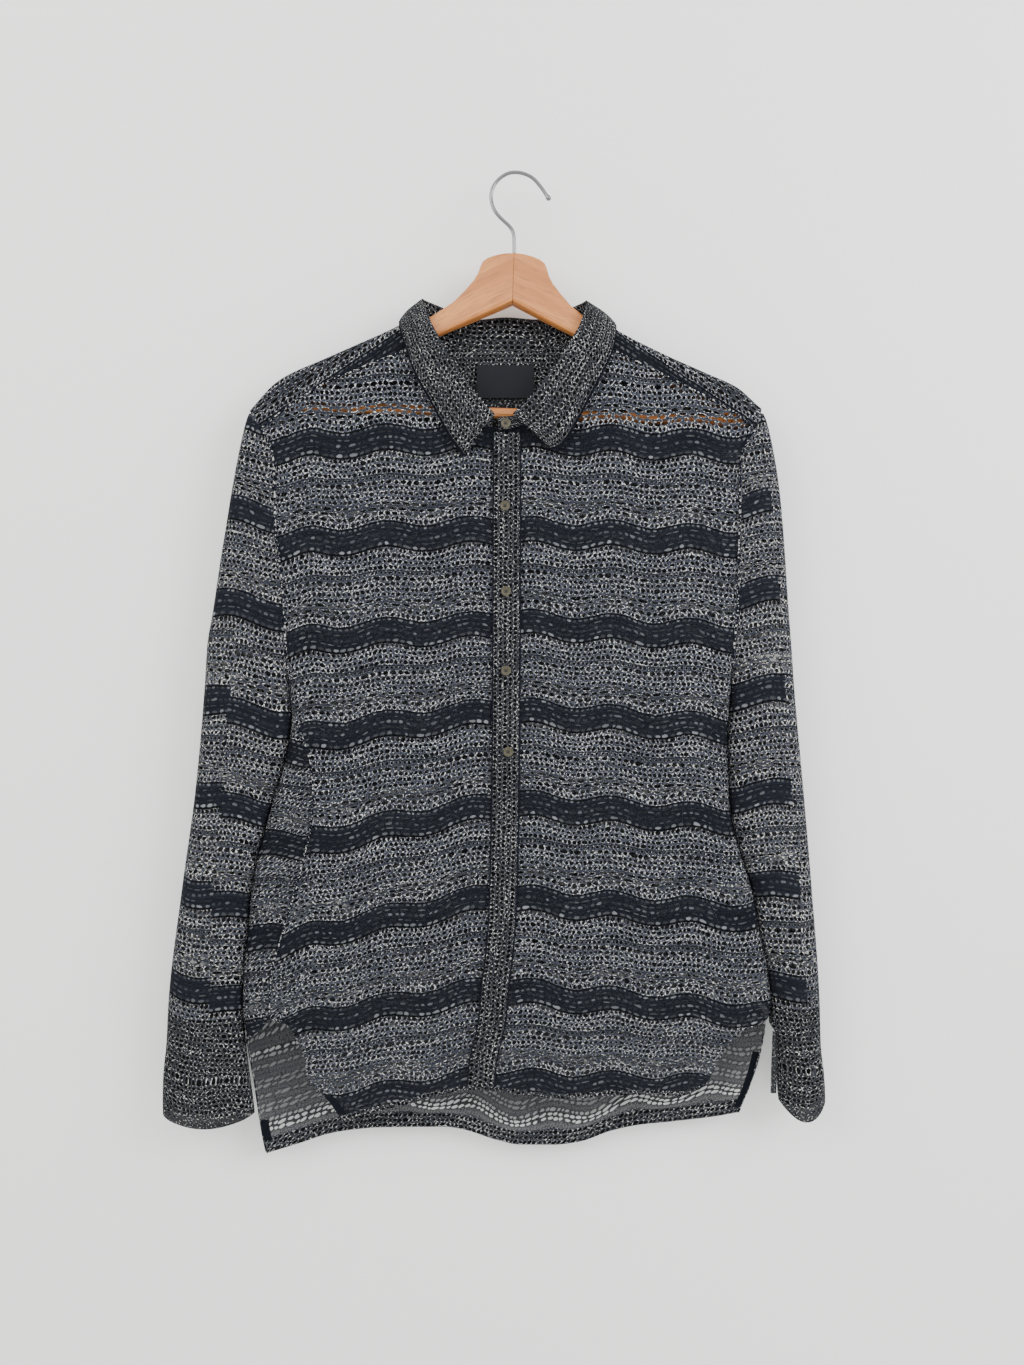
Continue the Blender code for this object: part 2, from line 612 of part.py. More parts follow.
def front_panel(name, side):
    """One front, from the centre line under the placket to its side seam and slit."""
    top = soft(FRONT_TOP_LEFT if side == "left" else FRONT_TOP_RIGHT)
    foot = soft(FRONT_HEM_LEFT if side == "left" else FRONT_HEM_RIGHT)
    place = front_left_ring if side == "left" else front_right_ring
    top_x = FRONT_X_LEFT if side == "left" else FRONT_X_RIGHT
    columns = []
    for i in range(len(top_x) + 1):
        if i < len(top_x):
            high = top(top_x[i]) - 0.2
            start = place(high, 0) if i == 0 else ring_at(high, top_x[i])
        else:
            high = ARMHOLE_ROWS[4]
            start = place(high, i)
        column = []
        for row in ARMHOLE_ROWS[4:] + UPPER_ROWS[1:-1]:
            t = (row - ARMHOLE_ROWS[4]) / (SIDE_ROWS[0] - ARMHOLE_ROWS[4])
            z = high + (SIDE_ROWS[0] - high) * t
            if i == 0:
                p = place(z, 0)
            elif side == "left":
                p = start + (place(SIDE_ROWS[0], i) - start) * t
            else:
                first, last = half_ring(high) - start, half_ring(-300.0) - place(-300.0, i)
                p = half_ring(z) - first - (last - first) * t
            column.append((z, p))
        if i == len(top_x):
            column = [(z, place(z, i)) for z in ARMHOLE_ROWS[4:] + UPPER_ROWS[1:-1]]
        column += [(z, place(z, i)) for z in SIDE_ROWS]
        last = SIDE_ROWS[-1]
        low = foot_of(foot, lambda z, i=i: ring_point(z, place(z, i))[0])
        for share in HEM_SHARES:
            z = last + (low - last) * share
            column.append((z, place(z, i)))
        columns.append(column)
    return body_panel(name, columns, flip=side == "left")


def back_ring(z, part, s):
    """The back's columns: off the right fold, the flat, then round the left fold."""
    half = half_ring(z)
    right_end, left_end = ends_right_back(z), ends_left_back(z)
    if part == 0:
        return half + right_end + (55.0 - right_end) * s / 4
    if part == 1:
        return half + 55.0 + (half - 89.0) * s / 11
    even = -34.0 + (left_end + 34.0) * s / 8
    marked = ([-34.0] + FOLD_MARKS + [left_end])[s]
    return 2 * half + even + (marked - even) * blend(0.0, 30.0, left_end)


def back_panel():
    """The back below the yoke: past the right fold, across, and round the left fold."""
    foot = soft(BACK_HEM)
    places = [(0, s) for s in range(4)] + [(1, s) for s in range(11)] + [(2, s) for s in range(9)]
    columns = []
    for part, s in places:
        high = YOKE_BACK_SEAM - SEAM / 2
        heights = [high] + UPPER_ROWS[1:-1] + SIDE_ROWS
        last = SIDE_ROWS[-1]
        low = foot_of(foot, lambda z, part=part, s=s: ring_point(z, back_ring(z, part, s))[0])
        heights += [last + (low - last) * share for share in HEM_SHARES]
        columns.append([(z, back_ring(z, part, s)) for z in heights])
    return body_panel("back", columns, flip=False)


NECK_BACK = [
    (-88.0, -134.0), (-87.7, -136.6), (-87.2, -139.2), (-86.2, -142.2), (-83.0, -148.0),
    (-72.0, -156.5), (-56.0, -162.0), (-40.0, -164.6), (-8.0, -166.5), (24.0, -164.8),
    (40.0, -162.4), (56.0, -157.0), (67.0, -148.5), (70.2, -142.6), (71.2, -139.6),
    (71.7, -137.0), (72.0, -134.5),
]


def shoulder_point(side, x_foot, row, face):
    """A yoke point on one shoulder, named by the x of its column at the forward seam and by the
    height at which its row meets the armhole."""
    ridge, armhole = (ridge_left, side_left) if side == "left" else (ridge_right, side_right)
    neck_x, sign = (-88.0, 1) if side == "left" else (72.0, -1)
    seam = soft(FRONT_TOP_LEFT if side == "left" else FRONT_TOP_RIGHT)
    share = (x_foot - neck_x) / (armhole(-244.6) - neck_x)
    end_foot = -244.4 if face < 0 else YOKE_BACK_SEAM + SEAM / 2
    row = max(row, end_foot)
    end_top = -225.3 if side == "left" else -223.5
    drop = (end_top - row) / (end_top - end_foot)
    end_x = armhole(row) + sign * 0.15
    x = neck_x + (end_x - neck_x) * share
    foot_z = seam(x) + 0.2 if face < 0 else end_foot
    z = ridge(x) + (foot_z - ridge(x)) * drop
    end_z = ridge(end_x) + ((seam(end_x) + 0.2 if face < 0 else end_foot) - ridge(end_x)) * drop
    z += (row - end_z) * share**6
    if drop < 0.001:
        return np.array([x, 0.0, ridge(x)]), np.array([ridge(x - 1) - ridge(x + 1), 0.0, 2.0])
    return np.array([x, body_y(face, x, z), z]), face_normal(face, x, z)


def yoke():
    """Shoulder yoke: over both shoulders to the forward seams, and across the back neck."""
    rows_back = [None] + ARMHOLE_ROWS
    rows_front = ARMHOLE_ROWS[:5]
    left_x = [side_left(-244.6)] + FRONT_X_LEFT[:3:-1]
    right_x = FRONT_X_RIGHT[4:] + [side_right(-244.6)]
    neck_rail = soft(NECK_BACK)
    neck_x = [-87.7, -87.2, -86.2, -83.0, -76.0, -64.0, -48.0, -28.0, -8.0, 12.0, 32.0, 48.0]
    neck_x += [60.0, 67.0, 70.2, 71.2, 71.7]

    def shoulder(side, x, row, face):
        top = -225.3 if side == "left" else -223.5
        return shoulder_point(side, x, top if row is None else row, face)

    low = YOKE_BACK_SEAM + SEAM / 2
    points, normals = [], []
    for row in rows_back:
        drop = 0.0 if row is None else (-225.3 - row) / (-225.3 - low)
        line = [shoulder("left", x, row, 1) for x in left_x]
        for x in neck_x:
            high = neck_rail(x)
            z = high + (low - high) * min(drop, 1.0)
            line.append((np.array([x, body_y(1, x, z), z]), face_normal(1, x, z)))
        line += [shoulder("right", x, row, 1) for x in right_x]
        points += [point for point, _ in line]
        normals += [normal for _, normal in line]
    count = len(left_x) + len(neck_x) + len(right_x)
    faces = grid_faces(len(rows_back), count, flip=True)
    for offset, side, columns in ((0, "left", left_x), (count - len(right_x), "right", right_x)):
        wide = len(columns)
        upper = [offset + i for i in range(wide)]
        for row in rows_front:
            lower = [len(points) + i for i in range(wide)]
            for x in columns:
                point, normal = shoulder(side, x, row, -1)
                points.append(point)
                normals.append(normal)
            for i in range(wide - 1):
                faces.append([upper[i], lower[i], lower[i + 1], upper[i + 1]])
            upper = lower
    return thicken("yoke", points, normals, faces, WALL, "melange knit")


SLEEVE_TURNS = [
    -1.0, -0.9, -0.75, -0.55, -0.35, -0.19, -0.08, 0.0, 0.08, 0.19, 0.35, 0.55, 0.75, 0.9, 1.0,
]


def sleeve_point(side, z, turn):
    """A point of a sleeve. turn runs from the inner edge in front, -1, over the outer fold, 0,
    to the inner edge behind, 1."""
    inner, outer = sleeve_inner(side, z), edge_left(z) if side == "left" else edge_right(z)
    if z <= ARMPIT:
        turn = (turn + 1) % 2 - 1
    width = abs(inner - outer)
    radius = min(ROLL, width / 2)
    quarter = radius * math.pi / 2
    length = width - 2 * radius + 2 * quarter
    way = abs(turn) * length
    if way > length / 2:
        run = 1 - plan_run(length - way, radius) / width
    else:
        run = plan_run(way, radius) / width
    x = outer + (inner - outer) * min(max(run, 0.0), 1.0)
    foot = -891.5 if side == "left" else -879.0
    sag = (10.0 if side == "left" else 16.0) * blend(foot + 120, foot, z) * 4 * run * (1 - run)
    y = 0.0 if turn == 0 else sleeve_y(side, -1 if turn < 0 else 1, x, z)
    return np.array([x, y, z - sag])


def sleeve(name, side):
    """A sleeve: open to the body above the armpit, a closed tube below it."""
    foot = -891.5 if side == "left" else -879.0
    heights = ARMHOLE_ROWS[2:] + UPPER_ROWS[1:-1] + SIDE_ROWS
    heights += [-812.0, -836.0, foot + 28, foot + 12, foot]
    sign = -1 if side == "left" else 1
    points, normals, thick = [], [], []
    for z in heights:
        for turn in SLEEVE_TURNS:
            point = sleeve_point(side, z, turn)
            low, high = turn - 0.01, turn + 0.01
            if z > ARMPIT:
                low, high = max(low, -1.0), min(high, 1.0)
            across = sleeve_point(side, z, high) - sleeve_point(side, z, low)
            up = sleeve_point(side, z + 0.3, turn) - sleeve_point(side, z - 0.3, turn)
            points.append(point)
            normals.append(sign * np.cross(across, up))
            thick.append(HEM_THICK if z < foot + 14 else 0.9 if z > -233 else WALL)
    wide = len(SLEEVE_TURNS)
    faces = grid_faces(len(heights), wide, flip=side == "left")
    # Below the armpit the two inner edges are one line, so the last column joins the first.
    merged = {
        j * wide + wide - 1: j * wide for j, z in enumerate(heights) if z <= ARMPIT
    }
    faces = [[merged.get(i, i) for i in face] for face in faces]
    used = sorted({i for face in faces for i in face})
    renumber = {old: new for new, old in enumerate(used)}
    faces = [[renumber[i] for i in face] for face in faces]
    return thicken(
        name, [points[i] for i in used], [normals[i] for i in used], faces,
        [thick[i] for i in used], "melange knit",
    )


def push_clear(point, lift):
    """Moves a collar point out until it is clear of the shoulder under it."""
    x, y, z = point
    side = "left" if x < CENTRE else "right"
    ridge = ridge_left(x) if side == "left" else ridge_right(x)
    if (side == "left" and x > -88.0) or (side == "right" and x < 72.0):
        least = (front_depth(z) if y < 0 else back_depth(z)) + lift
        least *= blend(-126.0, -141.0, z)
        if abs(y) < least and abs(y) > 4:
            y = math.copysign(least, y)
        return np.array([x, y, z])
    depth = front_depth(z) if y < 0 else back_depth(z)
    core = ridge - RIDGE_ROLL
    up = max(z - core, 0.0) / RIDGE_ROLL
    reach = math.hypot(y / depth, up)
    least = 1 + lift / (RIDGE_ROLL - 0.5)
    if reach < least:
        y *= least / max(reach, 0.2)
        if up > 0:
            z = core + (z - core) * least / reach
    return np.array([x, y, z])


def outward_of(roll):
    outward = np.array([roll[0] - CENTRE, roll[1] * 3.2, 0.0])
    return outward / np.linalg.norm(outward)


COLLAR_STATIONS = 41
LEAF_DROPS = [0.0, 0.12, 0.3, 0.52, 0.78, 1.0]
LEAF_LIFTS = [0.0, 5.8, 5.8, 5.8, 5.0, 4.0, 4.0]


def collar_surface():
    """The leaf's outer face from the roll line to just past its edge, with its directions."""
    points = []
    for t in np.linspace(0, 1, COLLAR_STATIONS):
        row = along(COLLAR, t)
        roll, edge = row[:3], row[3:6]
        reach = np.linalg.norm(edge - roll)
        for drop, lift in zip(LEAF_DROPS + [1 + UNDER_PROUD / reach], LEAF_LIFTS):
            crown = 2.6 * math.sin(math.pi * min(drop, 1))
            point = roll + (edge - roll) * drop + outward_of(roll) * crown
            points.append(push_clear(point, lift) if lift else point)
    faces = grid_faces(COLLAR_STATIONS, len(LEAF_LIFTS))
    return np.array(points), face_normals(points, faces)


def collar():
    """The leaf, turned over the stand, and the dark under collar that shows past its edge."""
    points, normals = collar_surface()
    wide = len(LEAF_LIFTS)

    def part(first, last):
        keep = [j * wide + i for j in range(COLLAR_STATIONS) for i in range(first, last)]
        return keep, grid_faces(COLLAR_STATIONS, last - first)

    keep, faces = part(0, wide - 1)
    thicken("collar_leaf", points[keep], normals[keep], faces, LEAF_WALL, "melange knit")
    keep, faces = part(3, wide)
    under = points[keep] - normals[keep] * (LEAF_WALL + SEAM)
    thicken("undercollar", under, normals[keep], faces, UNDER_WALL, "black tulle")


def neck_edge(x, drop):
    """A point on the outer face of the cloth this far down from the shoulder fold, and the way
    out from it. A drop of less than nothing is in front."""
    top = ridge_left(x) if x < CENTRE else ridge_right(x)
    face = -1 if drop < 0 else 1
    z = top - abs(drop)
    out = face_normal(face, x, top - max(abs(drop), 1.5))
    out /= np.linalg.norm(out)
    out[1] *= min(abs(drop) / 1.5, 1.0)
    return np.array([x, body_y(face, x, z), z]), out / np.linalg.norm(out)


def collar_stand():
    """The stand, sewn over the neck edge and up inside the leaf's fold, with its button tab."""
    leaf, leaf_normals = collar_surface()
    wide = len(LEAF_LIFTS)
    points = []
    for j, t in enumerate(np.linspace(0, 1, COLLAR_STATIONS)):
        row = along(COLLAR, t)
        base, out = neck_edge(row[6], row[7])
        base = base + out * (STAND_LIFT + 1.2 * math.exp(-((row[7] / 5) ** 2)))
        fold, fall = leaf[j * wide], leaf[j * wide + 1] - leaf[j * wide]
        top = fold - leaf_normals[j * wide] * (LEAF_WALL + 2 * SEAM) + fall / 3
        points += [base, (base + top) / 2, top]
    for x, foot, top in TAB:
        points += [np.array([x, -15.1 - 0.7 * k, foot + (top - foot) * k / 2]) for k in range(3)]
    faces = grid_faces(COLLAR_STATIONS + len(TAB), 3, flip=True)
    normals = face_normals(points, faces)
    return thicken("collar_stand", points, normals, faces, WALL, "melange knit")


def front_surface(x, z):
    """Outer surface of the fronts near the centre, as a point."""
    return np.array([x, body_y(-1, x, z), z])


def placket():
    """The button band, laid on both fronts over the centre line."""
    heights = np.linspace(PLACKET_TOP, PLACKET_FOOT, 24)
    across = [-1.0, -0.34, 0.34, 1.0]
    lift = np.array([0.0, -(SEAM + 1.4), 0.0])
    points = []
    for z in heights:
        lean = (centre_front(z - 5) - centre_front(z + 5)) / 10
        for a in across:
            x = centre_front(z) + a * PLACKET_HALF
            low = z + a * PLACKET_HALF * lean
            points.append(front_surface(x, low) + lift)
    faces = grid_faces(len(heights), len(across))
    normals = face_normals(points, faces)
    return thicken("placket", points, normals, faces, 1.4, "melange knit")


def button(name, x, z, on_stand):
    """A turned button with a raised rim, its back just clear of the cloth under it."""
    depth = 16.5 if on_stand else -front_surface(x, z)[1] + SEAM + 1.4
    profile = [  # radius share, height share from the back
        (0.82, 0.0), (1.0, 0.35), (1.0, 0.8), (0.9, 1.0), (0.68, 0.82),
    ]
    segments = 14
    mesh = bmesh.new()
    centre_back = mesh.verts.new((0, 0, 0))
    centre_front_point = mesh.verts.new((0, -BUTTON_THICK * 0.78 * MM, 0))
    rings = []
    for radius, height in profile:
        ring = []
        for i in range(segments):
            angle = 2 * math.pi * i / segments
            ring.append(mesh.verts.new((
                BUTTON_RADIUS * radius * math.cos(angle) * MM,
                -BUTTON_THICK * height * MM,
                BUTTON_RADIUS * radius * math.sin(angle) * MM,
            )))
        rings.append(ring)
    for i in range(segments):
        k = (i + 1) % segments
        mesh.faces.new((centre_back, rings[0][i], rings[0][k]))
        mesh.faces.new((centre_front_point, rings[-1][k], rings[-1][i]))
        for low, high in zip(rings, rings[1:]):
            mesh.faces.new((low[i], high[i], high[k], low[k]))
    piece = finished(name, mesh, "horn")
    piece.location = (x * MM, -(depth + SEAM) * MM, z * MM)
    return piece


def neck_label():
    """A bare label on the inside of the yoke, under the back neck."""
    left, right, foot, top = LABEL
    points = []
    columns, rows = 7, 4
    for j in range(rows):
        z = top + (foot - top) * j / (rows - 1)
        for i in range(columns):
            x = left + (right - left) * i / (columns - 1)
            points.append(np.array([x, body_y(1, x, z) - WALL - SEAM - LABEL_THICK - 0.2, z]))
    faces = grid_faces(rows, columns)
    return thicken("neck_label", points, face_normals(points, faces), faces, LABEL_THICK, "label satin")


def cuff_flap():
    """The narrow under edge of the right cuff's slit."""
    points = []
    rows = sorted(CUFF_FLAP, reverse=True)
    for z, inner, outer in rows:
        for i in range(3):
            x = inner + (outer - inner) * i / 2
            points.append(np.array([x, -6.0 - 1.2 * math.sin(math.pi * i / 2), z]))
    faces = grid_faces(len(rows), 3)
    return thicken("cuff_flap_right", points, face_normals(points, faces), faces, WALL, "melange knit")


def hanger_half(name, side):
    """Half of the wooden hanger: lofted from sections with rounded long edges."""
    mirror = -1 if side == "left" else 1
    mesh = bmesh.new()
    sections = []
    for x, top, foot, half in HANGER_HALF:
        r = min(HANGER_ROUND, half * 0.6, (top - foot) * 0.3)
        corners = [(-half, foot + r), (-half, top - r), (-half + r * 0.3, top - r * 0.3)]
        corners += [(-half + r, top), (half - r, top), (half - r * 0.3, top - r * 0.3)]
        corners += [(half, top - r), (half, foot + r), (half - r * 0.3, foot + r * 0.3)]
        corners += [(half - r, foot), (-half + r, foot), (-half + r * 0.3, foot + r * 0.3)]
        sections.append([mesh.verts.new((mirror * x * MM, y * MM, (z - CROWN[1]) * MM))
                         for y, z in corners])
    count = len(sections[0])
    for near, far in zip(sections, sections[1:]):
        for i in range(count):
            k = (i + 1) % count
            mesh.faces.new((near[i], near[k], far[k], far[i]))
    mesh.faces.new(sections[0])
    mesh.faces.new(sections[-1])
    return finished(name, mesh, "beech")


def hanger_bar():
    mesh = bmesh.new()
    bmesh.ops.create_cone(
        mesh, cap_ends=True, segments=12, radius1=BAR_RADIUS * MM, radius2=BAR_RADIUS * MM,
        depth=2 * BAR_END * MM,
    )
    turned = math.radians(90)
    for point in mesh.verts:
        x, y, z = point.co
        point.co = (
            z, y * math.cos(turned / 6) - x * math.sin(turned / 6),
            x * math.cos(turned / 6) + y * math.sin(turned / 6) + (BAR_Z - CROWN[1]) * MM,
        )
    return finished("hanger_bar", mesh, "beech")


def hanger_hook():
    """The hook: one wire with a ball tip, swept through its own points."""
    samples = np.linspace(0, 1, 45)
    path = [along(HOOK, t) for t in samples]
    segments = 8
    mesh = bmesh.new()
    rings = []
    for i, (x, z, radius) in enumerate(path):
        before, after = path[max(i - 1, 0)], path[min(i + 1, len(path) - 1)]
        dx, dz = after[0] - before[0], after[1] - before[1]
        length = math.hypot(dx, dz)
        side_x, side_z = -dz / length, dx / length
        ring = []
        for k in range(segments):
            angle = 2 * math.pi * k / segments
            out = radius * math.cos(angle)
            ring.append(mesh.verts.new((
                (x + side_x * out) * MM, radius * math.sin(angle) * MM, (z + side_z * out) * MM,
            )))
        rings.append(ring)
    for near, far in zip(rings, rings[1:]):
        for i in range(segments):
            k = (i + 1) % segments
            mesh.faces.new((near[i], near[k], far[k], far[i]))
    mesh.faces.new(rings[0])
    mesh.faces.new(rings[-1])
    return finished("hanger_hook", mesh, "chrome wire")


def hanger():
    tilt = bpy.data.objects.new("hanger_crown", None)
    tilt.location = (CROWN[0] * MM, 0, CROWN[1] * MM)
    tilt.rotation_euler = (0, HANGER_TILT, 0)
    bpy.context.scene.collection.objects.link(tilt)
    for piece in (
        hanger_half("hanger_wood_left", "left"),
        hanger_half("hanger_wood_right", "right"),
        hanger_bar(),
    ):
        piece.parent = tilt
    hanger_hook()


def shirt():
    front_panel("front_left", "left")
    front_panel("front_right", "right")
    back_panel()
    yoke()
    sleeve("sleeve_left", "left")
    sleeve("sleeve_right", "right")
    cuff_flap()
    collar()
    collar_stand()
    placket()
    neck_label()
    for number, (x, z) in enumerate(BUTTONS, 1):
        button(f"button_{number}", x, z, on_stand=number == 1)


for old in list(bpy.data.objects):
    bpy.data.objects.remove(old)
hanger()
shirt()
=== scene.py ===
import math

import bmesh
import bpy
import numpy as np
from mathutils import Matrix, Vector


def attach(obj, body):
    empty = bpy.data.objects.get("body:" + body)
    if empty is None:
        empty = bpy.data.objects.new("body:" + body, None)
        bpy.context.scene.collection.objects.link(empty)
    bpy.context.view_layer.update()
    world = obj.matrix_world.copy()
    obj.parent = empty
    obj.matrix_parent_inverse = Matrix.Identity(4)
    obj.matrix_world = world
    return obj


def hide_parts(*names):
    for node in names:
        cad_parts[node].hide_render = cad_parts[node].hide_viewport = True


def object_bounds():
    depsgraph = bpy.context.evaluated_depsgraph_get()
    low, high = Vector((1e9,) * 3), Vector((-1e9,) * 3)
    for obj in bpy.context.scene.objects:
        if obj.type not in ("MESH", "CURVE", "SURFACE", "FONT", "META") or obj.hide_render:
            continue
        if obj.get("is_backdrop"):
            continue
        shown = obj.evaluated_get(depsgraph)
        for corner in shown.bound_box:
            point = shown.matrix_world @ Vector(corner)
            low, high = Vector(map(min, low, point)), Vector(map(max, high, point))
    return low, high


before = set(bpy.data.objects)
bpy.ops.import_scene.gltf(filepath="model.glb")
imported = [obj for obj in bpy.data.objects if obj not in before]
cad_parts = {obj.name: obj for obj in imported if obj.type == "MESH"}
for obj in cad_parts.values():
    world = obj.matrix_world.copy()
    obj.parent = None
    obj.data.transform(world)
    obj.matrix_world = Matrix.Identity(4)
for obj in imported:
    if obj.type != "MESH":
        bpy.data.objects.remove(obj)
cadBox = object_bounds()
mm = 0.001

# The shirt hangs flat. The front faces -Y. Tables are in millimetres from the hook's inner top.
shape = {
    "roll": 13.0,  # plan radius of the side folds
    "ridgeRoll": 10.0,  # plan radius of the fold over the shoulders
    "armholeOpen": -400.0,  # above this the body runs into the sleeve at full depth
    "armpit": -500.0,
    "shoulderFoot": -330.0,  # above this the shoulders' fold rounds the cloth
    "foldsTop": -300.0,
    "foldsFade": 39.0,  # the folds die out this far from the side
    "tailOpen": (-815.0, -870.0, 0.75),  # where the tail's sides open, and how far
    "yokeSeam": -262.0,
    "centre": -8.0,
    "inset": 0.7,  # the sheets lie this far inside the outer faces
}
inward = {"left": 1, "right": -1}  # which way x grows towards the middle
neckEnd = {"left": -88.0, "right": 72.0}  # where the shoulder's fold meets the neck
ridgeRows = {  # x, z of the fold over the shoulders, out to the sleeve's edge
    "left": [
        (-250.3, -225.1), (-241.8, -214.7), (-226.6, -198.6), (-211.4, -189.1), (-181.0, -175.8),
        (-150.6, -162.4), (-114.5, -146.3), (-104.0, -140.6), (-88.0, -134.0),
    ],
    "right": [
        (72.0, -134.5), (91.7, -143.4), (102.1, -150.1), (149.6, -173.9), (183.8, -189.1),
        (212.3, -202.4), (226.6, -214.7), (234.2, -222.3),
    ],
}
sideRows = [  # z, left x, right x of the body
    (-935.0, -236.4, 210.0), (-919.0, -240.0, 213.0), (-892.0, -244.5, 217.1),
    (-871.0, -247.5, 225.6), (-845.0, -251.2, 233.5), (-813.0, -254.5, 239.0),
    (-790.0, -257.0, 244.6), (-758.0, -256.0, 241.8), (-714.0, -251.3, 233.0),
    (-687.0, -249.4, 228.5), (-646.0, -241.8, 216.0), (-613.0, -233.2, 207.0),
    (-592.0, -227.5, 205.0), (-568.0, -219.5, 204.0), (-536.0, -212.5, 203.0),
    (-515.0, -210.5, 204.5), (-497.0, -211.5, 205.4), (-455.0, -214.4, 207.5),
    (-411.0, -216.1, 211.0), (-370.0, -219.9, 211.8), (-335.0, -224.2, 213.0),
    (-280.0, -225.5, 213.8), (-262.0, -228.5, 217.5), (-243.0, -239.0, 229.0),
    (-225.0, -250.3, 234.4),
]
sleeveEdgeRows = [  # z, left x, right x of the outer fold
    (-902.0, -333.5, 296.0), (-877.0, -334.0, 296.9), (-856.0, -333.4, 295.9),
    (-826.0, -330.4, 292.6), (-784.0, -328.2, 291.4), (-675.0, -314.9, 283.6),
    (-585.0, -302.6, 276.0), (-490.0, -294.0, 267.4), (-446.0, -291.2, 264.4),
    (-418.0, -286.4, 262.2), (-366.7, -278.8, 258.9), (-338.0, -274.1, 256.8),
    (-297.0, -267.4, 252.9), (-262.0, -260.8, 247.2), (-234.0, -254.1, 240.6),
    (-225.1, -250.3, 236.0),
]
sleeveInnerRows = [  # z, left x, right x of the cuffs' inner edge
    (-902.0, -246.5, 258.0), (-891.0, -246.8, 256.5), (-878.0, -248.3, 252.4),
    (-862.0, -250.6, 251.3), (-840.0, -253.3, 251.3), (-818.0, -255.6, 251.0),
    (-800.0, -257.0, 247.5),
]
depthRows = [  # z, half thickness in front, behind
    (-935.0, 10.5, 11.0), (-860.0, 11.5, 11.5), (-760.0, 13.0, 12.5), (-620.0, 14.2, 13.2),
    (-500.0, 14.5, 13.5), (-380.0, 13.8, 13.0), (-300.0, 12.8, 12.2), (-240.0, 11.6, 11.6),
    (-190.0, 10.6, 11.2), (-120.0, 9.6, 10.2),
]
# z, how much deeper the middle of a sleeve is than its edges
swellRows = [(-902.0, 5.5), (-700.0, 5.0), (-500.0, 3.5), (-340.0, 2.0), (-250.0, 0.0)]
frontTopRows = {  # x, z of the forward seam and the neck edge
    "left": [
        (-238.0, -244.8), (-210.0, -222.2), (-172.5, -198.7), (-151.8, -190.3), (-103.0, -171.4),
        (-88.0, -167.5), (-80.0, -173.0), (-70.0, -188.0), (-55.0, -210.0), (-38.0, -230.0),
        (-20.0, -242.0), (-6.0, -244.5),
    ],
    "right": [
        (-10.0, -244.5), (4.0, -242.0), (22.0, -230.0), (39.0, -210.0), (54.0, -188.0),
        (64.0, -172.0), (72.0, -163.5), (95.4, -171.4), (133.0, -189.3), (158.4, -202.5),
        (201.6, -225.0), (228.0, -244.8),
    ],
}
frontHemRows = {  # x, z
    "left": [
        (-161.0, -895.3), (-125.5, -886.0), (-94.5, -878.4), (-71.0, -871.8), (-43.0, -866.5),
        (-20.0, -866.0),
    ],
    "right": [
        (-45.0, -865.0), (-18.0, -867.5), (7.0, -870.5), (45.6, -874.6), (92.6, -871.8),
        (119.0, -870.8), (157.4, -872.0), (181.0, -862.4),
    ],
}
backHem = [  # x, z
    (-236.0, -934.5), (-204.0, -924.7), (-177.0, -916.0), (-153.0, -912.0), (-127.0, -910.0),
    (-65.0, -909.4), (-48.0, -912.0), (-17.0, -921.8), (7.0, -926.6), (39.0, -926.6),
    (63.0, -923.8), (94.5, -913.0), (121.0, -907.5), (150.0, -904.6), (198.0, -898.8),
    (217.0, -895.0),
]
centreRows = [  # z, x of the line where the fronts meet
    (-870.0, -31.0), (-843.0, -29.0), (-797.0, -19.5), (-767.0, -17.0), (-740.0, -13.5),
    (-694.0, -10.0), (-612.0, -8.0), (-500.0, -6.8), (-240.0, -6.0),
]
sideSeamRows = [  # z, how far the seam lies from the side's fold, along the cloth
    (-790.0, 35.0), (-757.0, 36.0), (-715.0, 43.0), (-668.0, 52.0), (-626.0, 53.0),
    (-593.0, 47.0), (-556.0, 33.0), (-528.0, 18.0), (-500.0, 0.0), (-225.0, 0.0),
]
slitRows = {  # z, how far the edge lies from the fold, along the cloth
    "leftFront": [
        (-896.0, 90.5), (-877.0, 80.5), (-855.0, 64.0), (-835.0, 63.0), (-811.0, 54.0),
        (-800.0, 48.0),
    ],
    "leftBack": [(-935.0, 0.0), (-828.0, 0.0), (-819.0, 9.0), (-809.0, 26.0), (-797.0, 35.0)],
    "rightFront": [
        (-868.0, -56.0), (-852.0, -52.4), (-833.0, -47.0), (-818.0, -38.0), (-808.0, -26.0),
        (-800.0, -8.0), (-788.0, 17.0), (-772.0, 35.0),
    ],
    "rightBack": [(-935.0, 0.0), (-812.0, 0.0), (-792.0, 17.0), (-772.0, 35.0)],
}
frontFolds = [  # x at top, x at foot, top z, foot z, half width, rise
    (-186.0, -184.0, -330.0, -600.0, 9.0, 2.4),
    (-172.0, -168.0, -360.0, -560.0, 8.0, -1.6),
    (-120.0, -150.0, -520.0, -860.0, 22.0, 1.8),
    (-70.0, -96.0, -640.0, -880.0, 18.0, -1.6),
    (60.0, 84.0, -300.0, -560.0, 24.0, 1.4),
    (150.0, 176.0, -330.0, -760.0, 18.0, 2.2),
    (120.0, 140.0, -560.0, -860.0, 16.0, -1.8),
    (40.0, 52.0, -640.0, -880.0, 22.0, 1.8),
]
backFolds = [
    (-150.0, -170.0, -330.0, -900.0, 22.0, 2.0),
    (-70.0, -84.0, -420.0, -930.0, 24.0, -1.6),
    (0.0, 6.0, -300.0, -930.0, 26.0, 2.0),
    (90.0, 100.0, -400.0, -900.0, 22.0, -1.6),
    (150.0, 172.0, -330.0, -880.0, 20.0, 2.0),
]
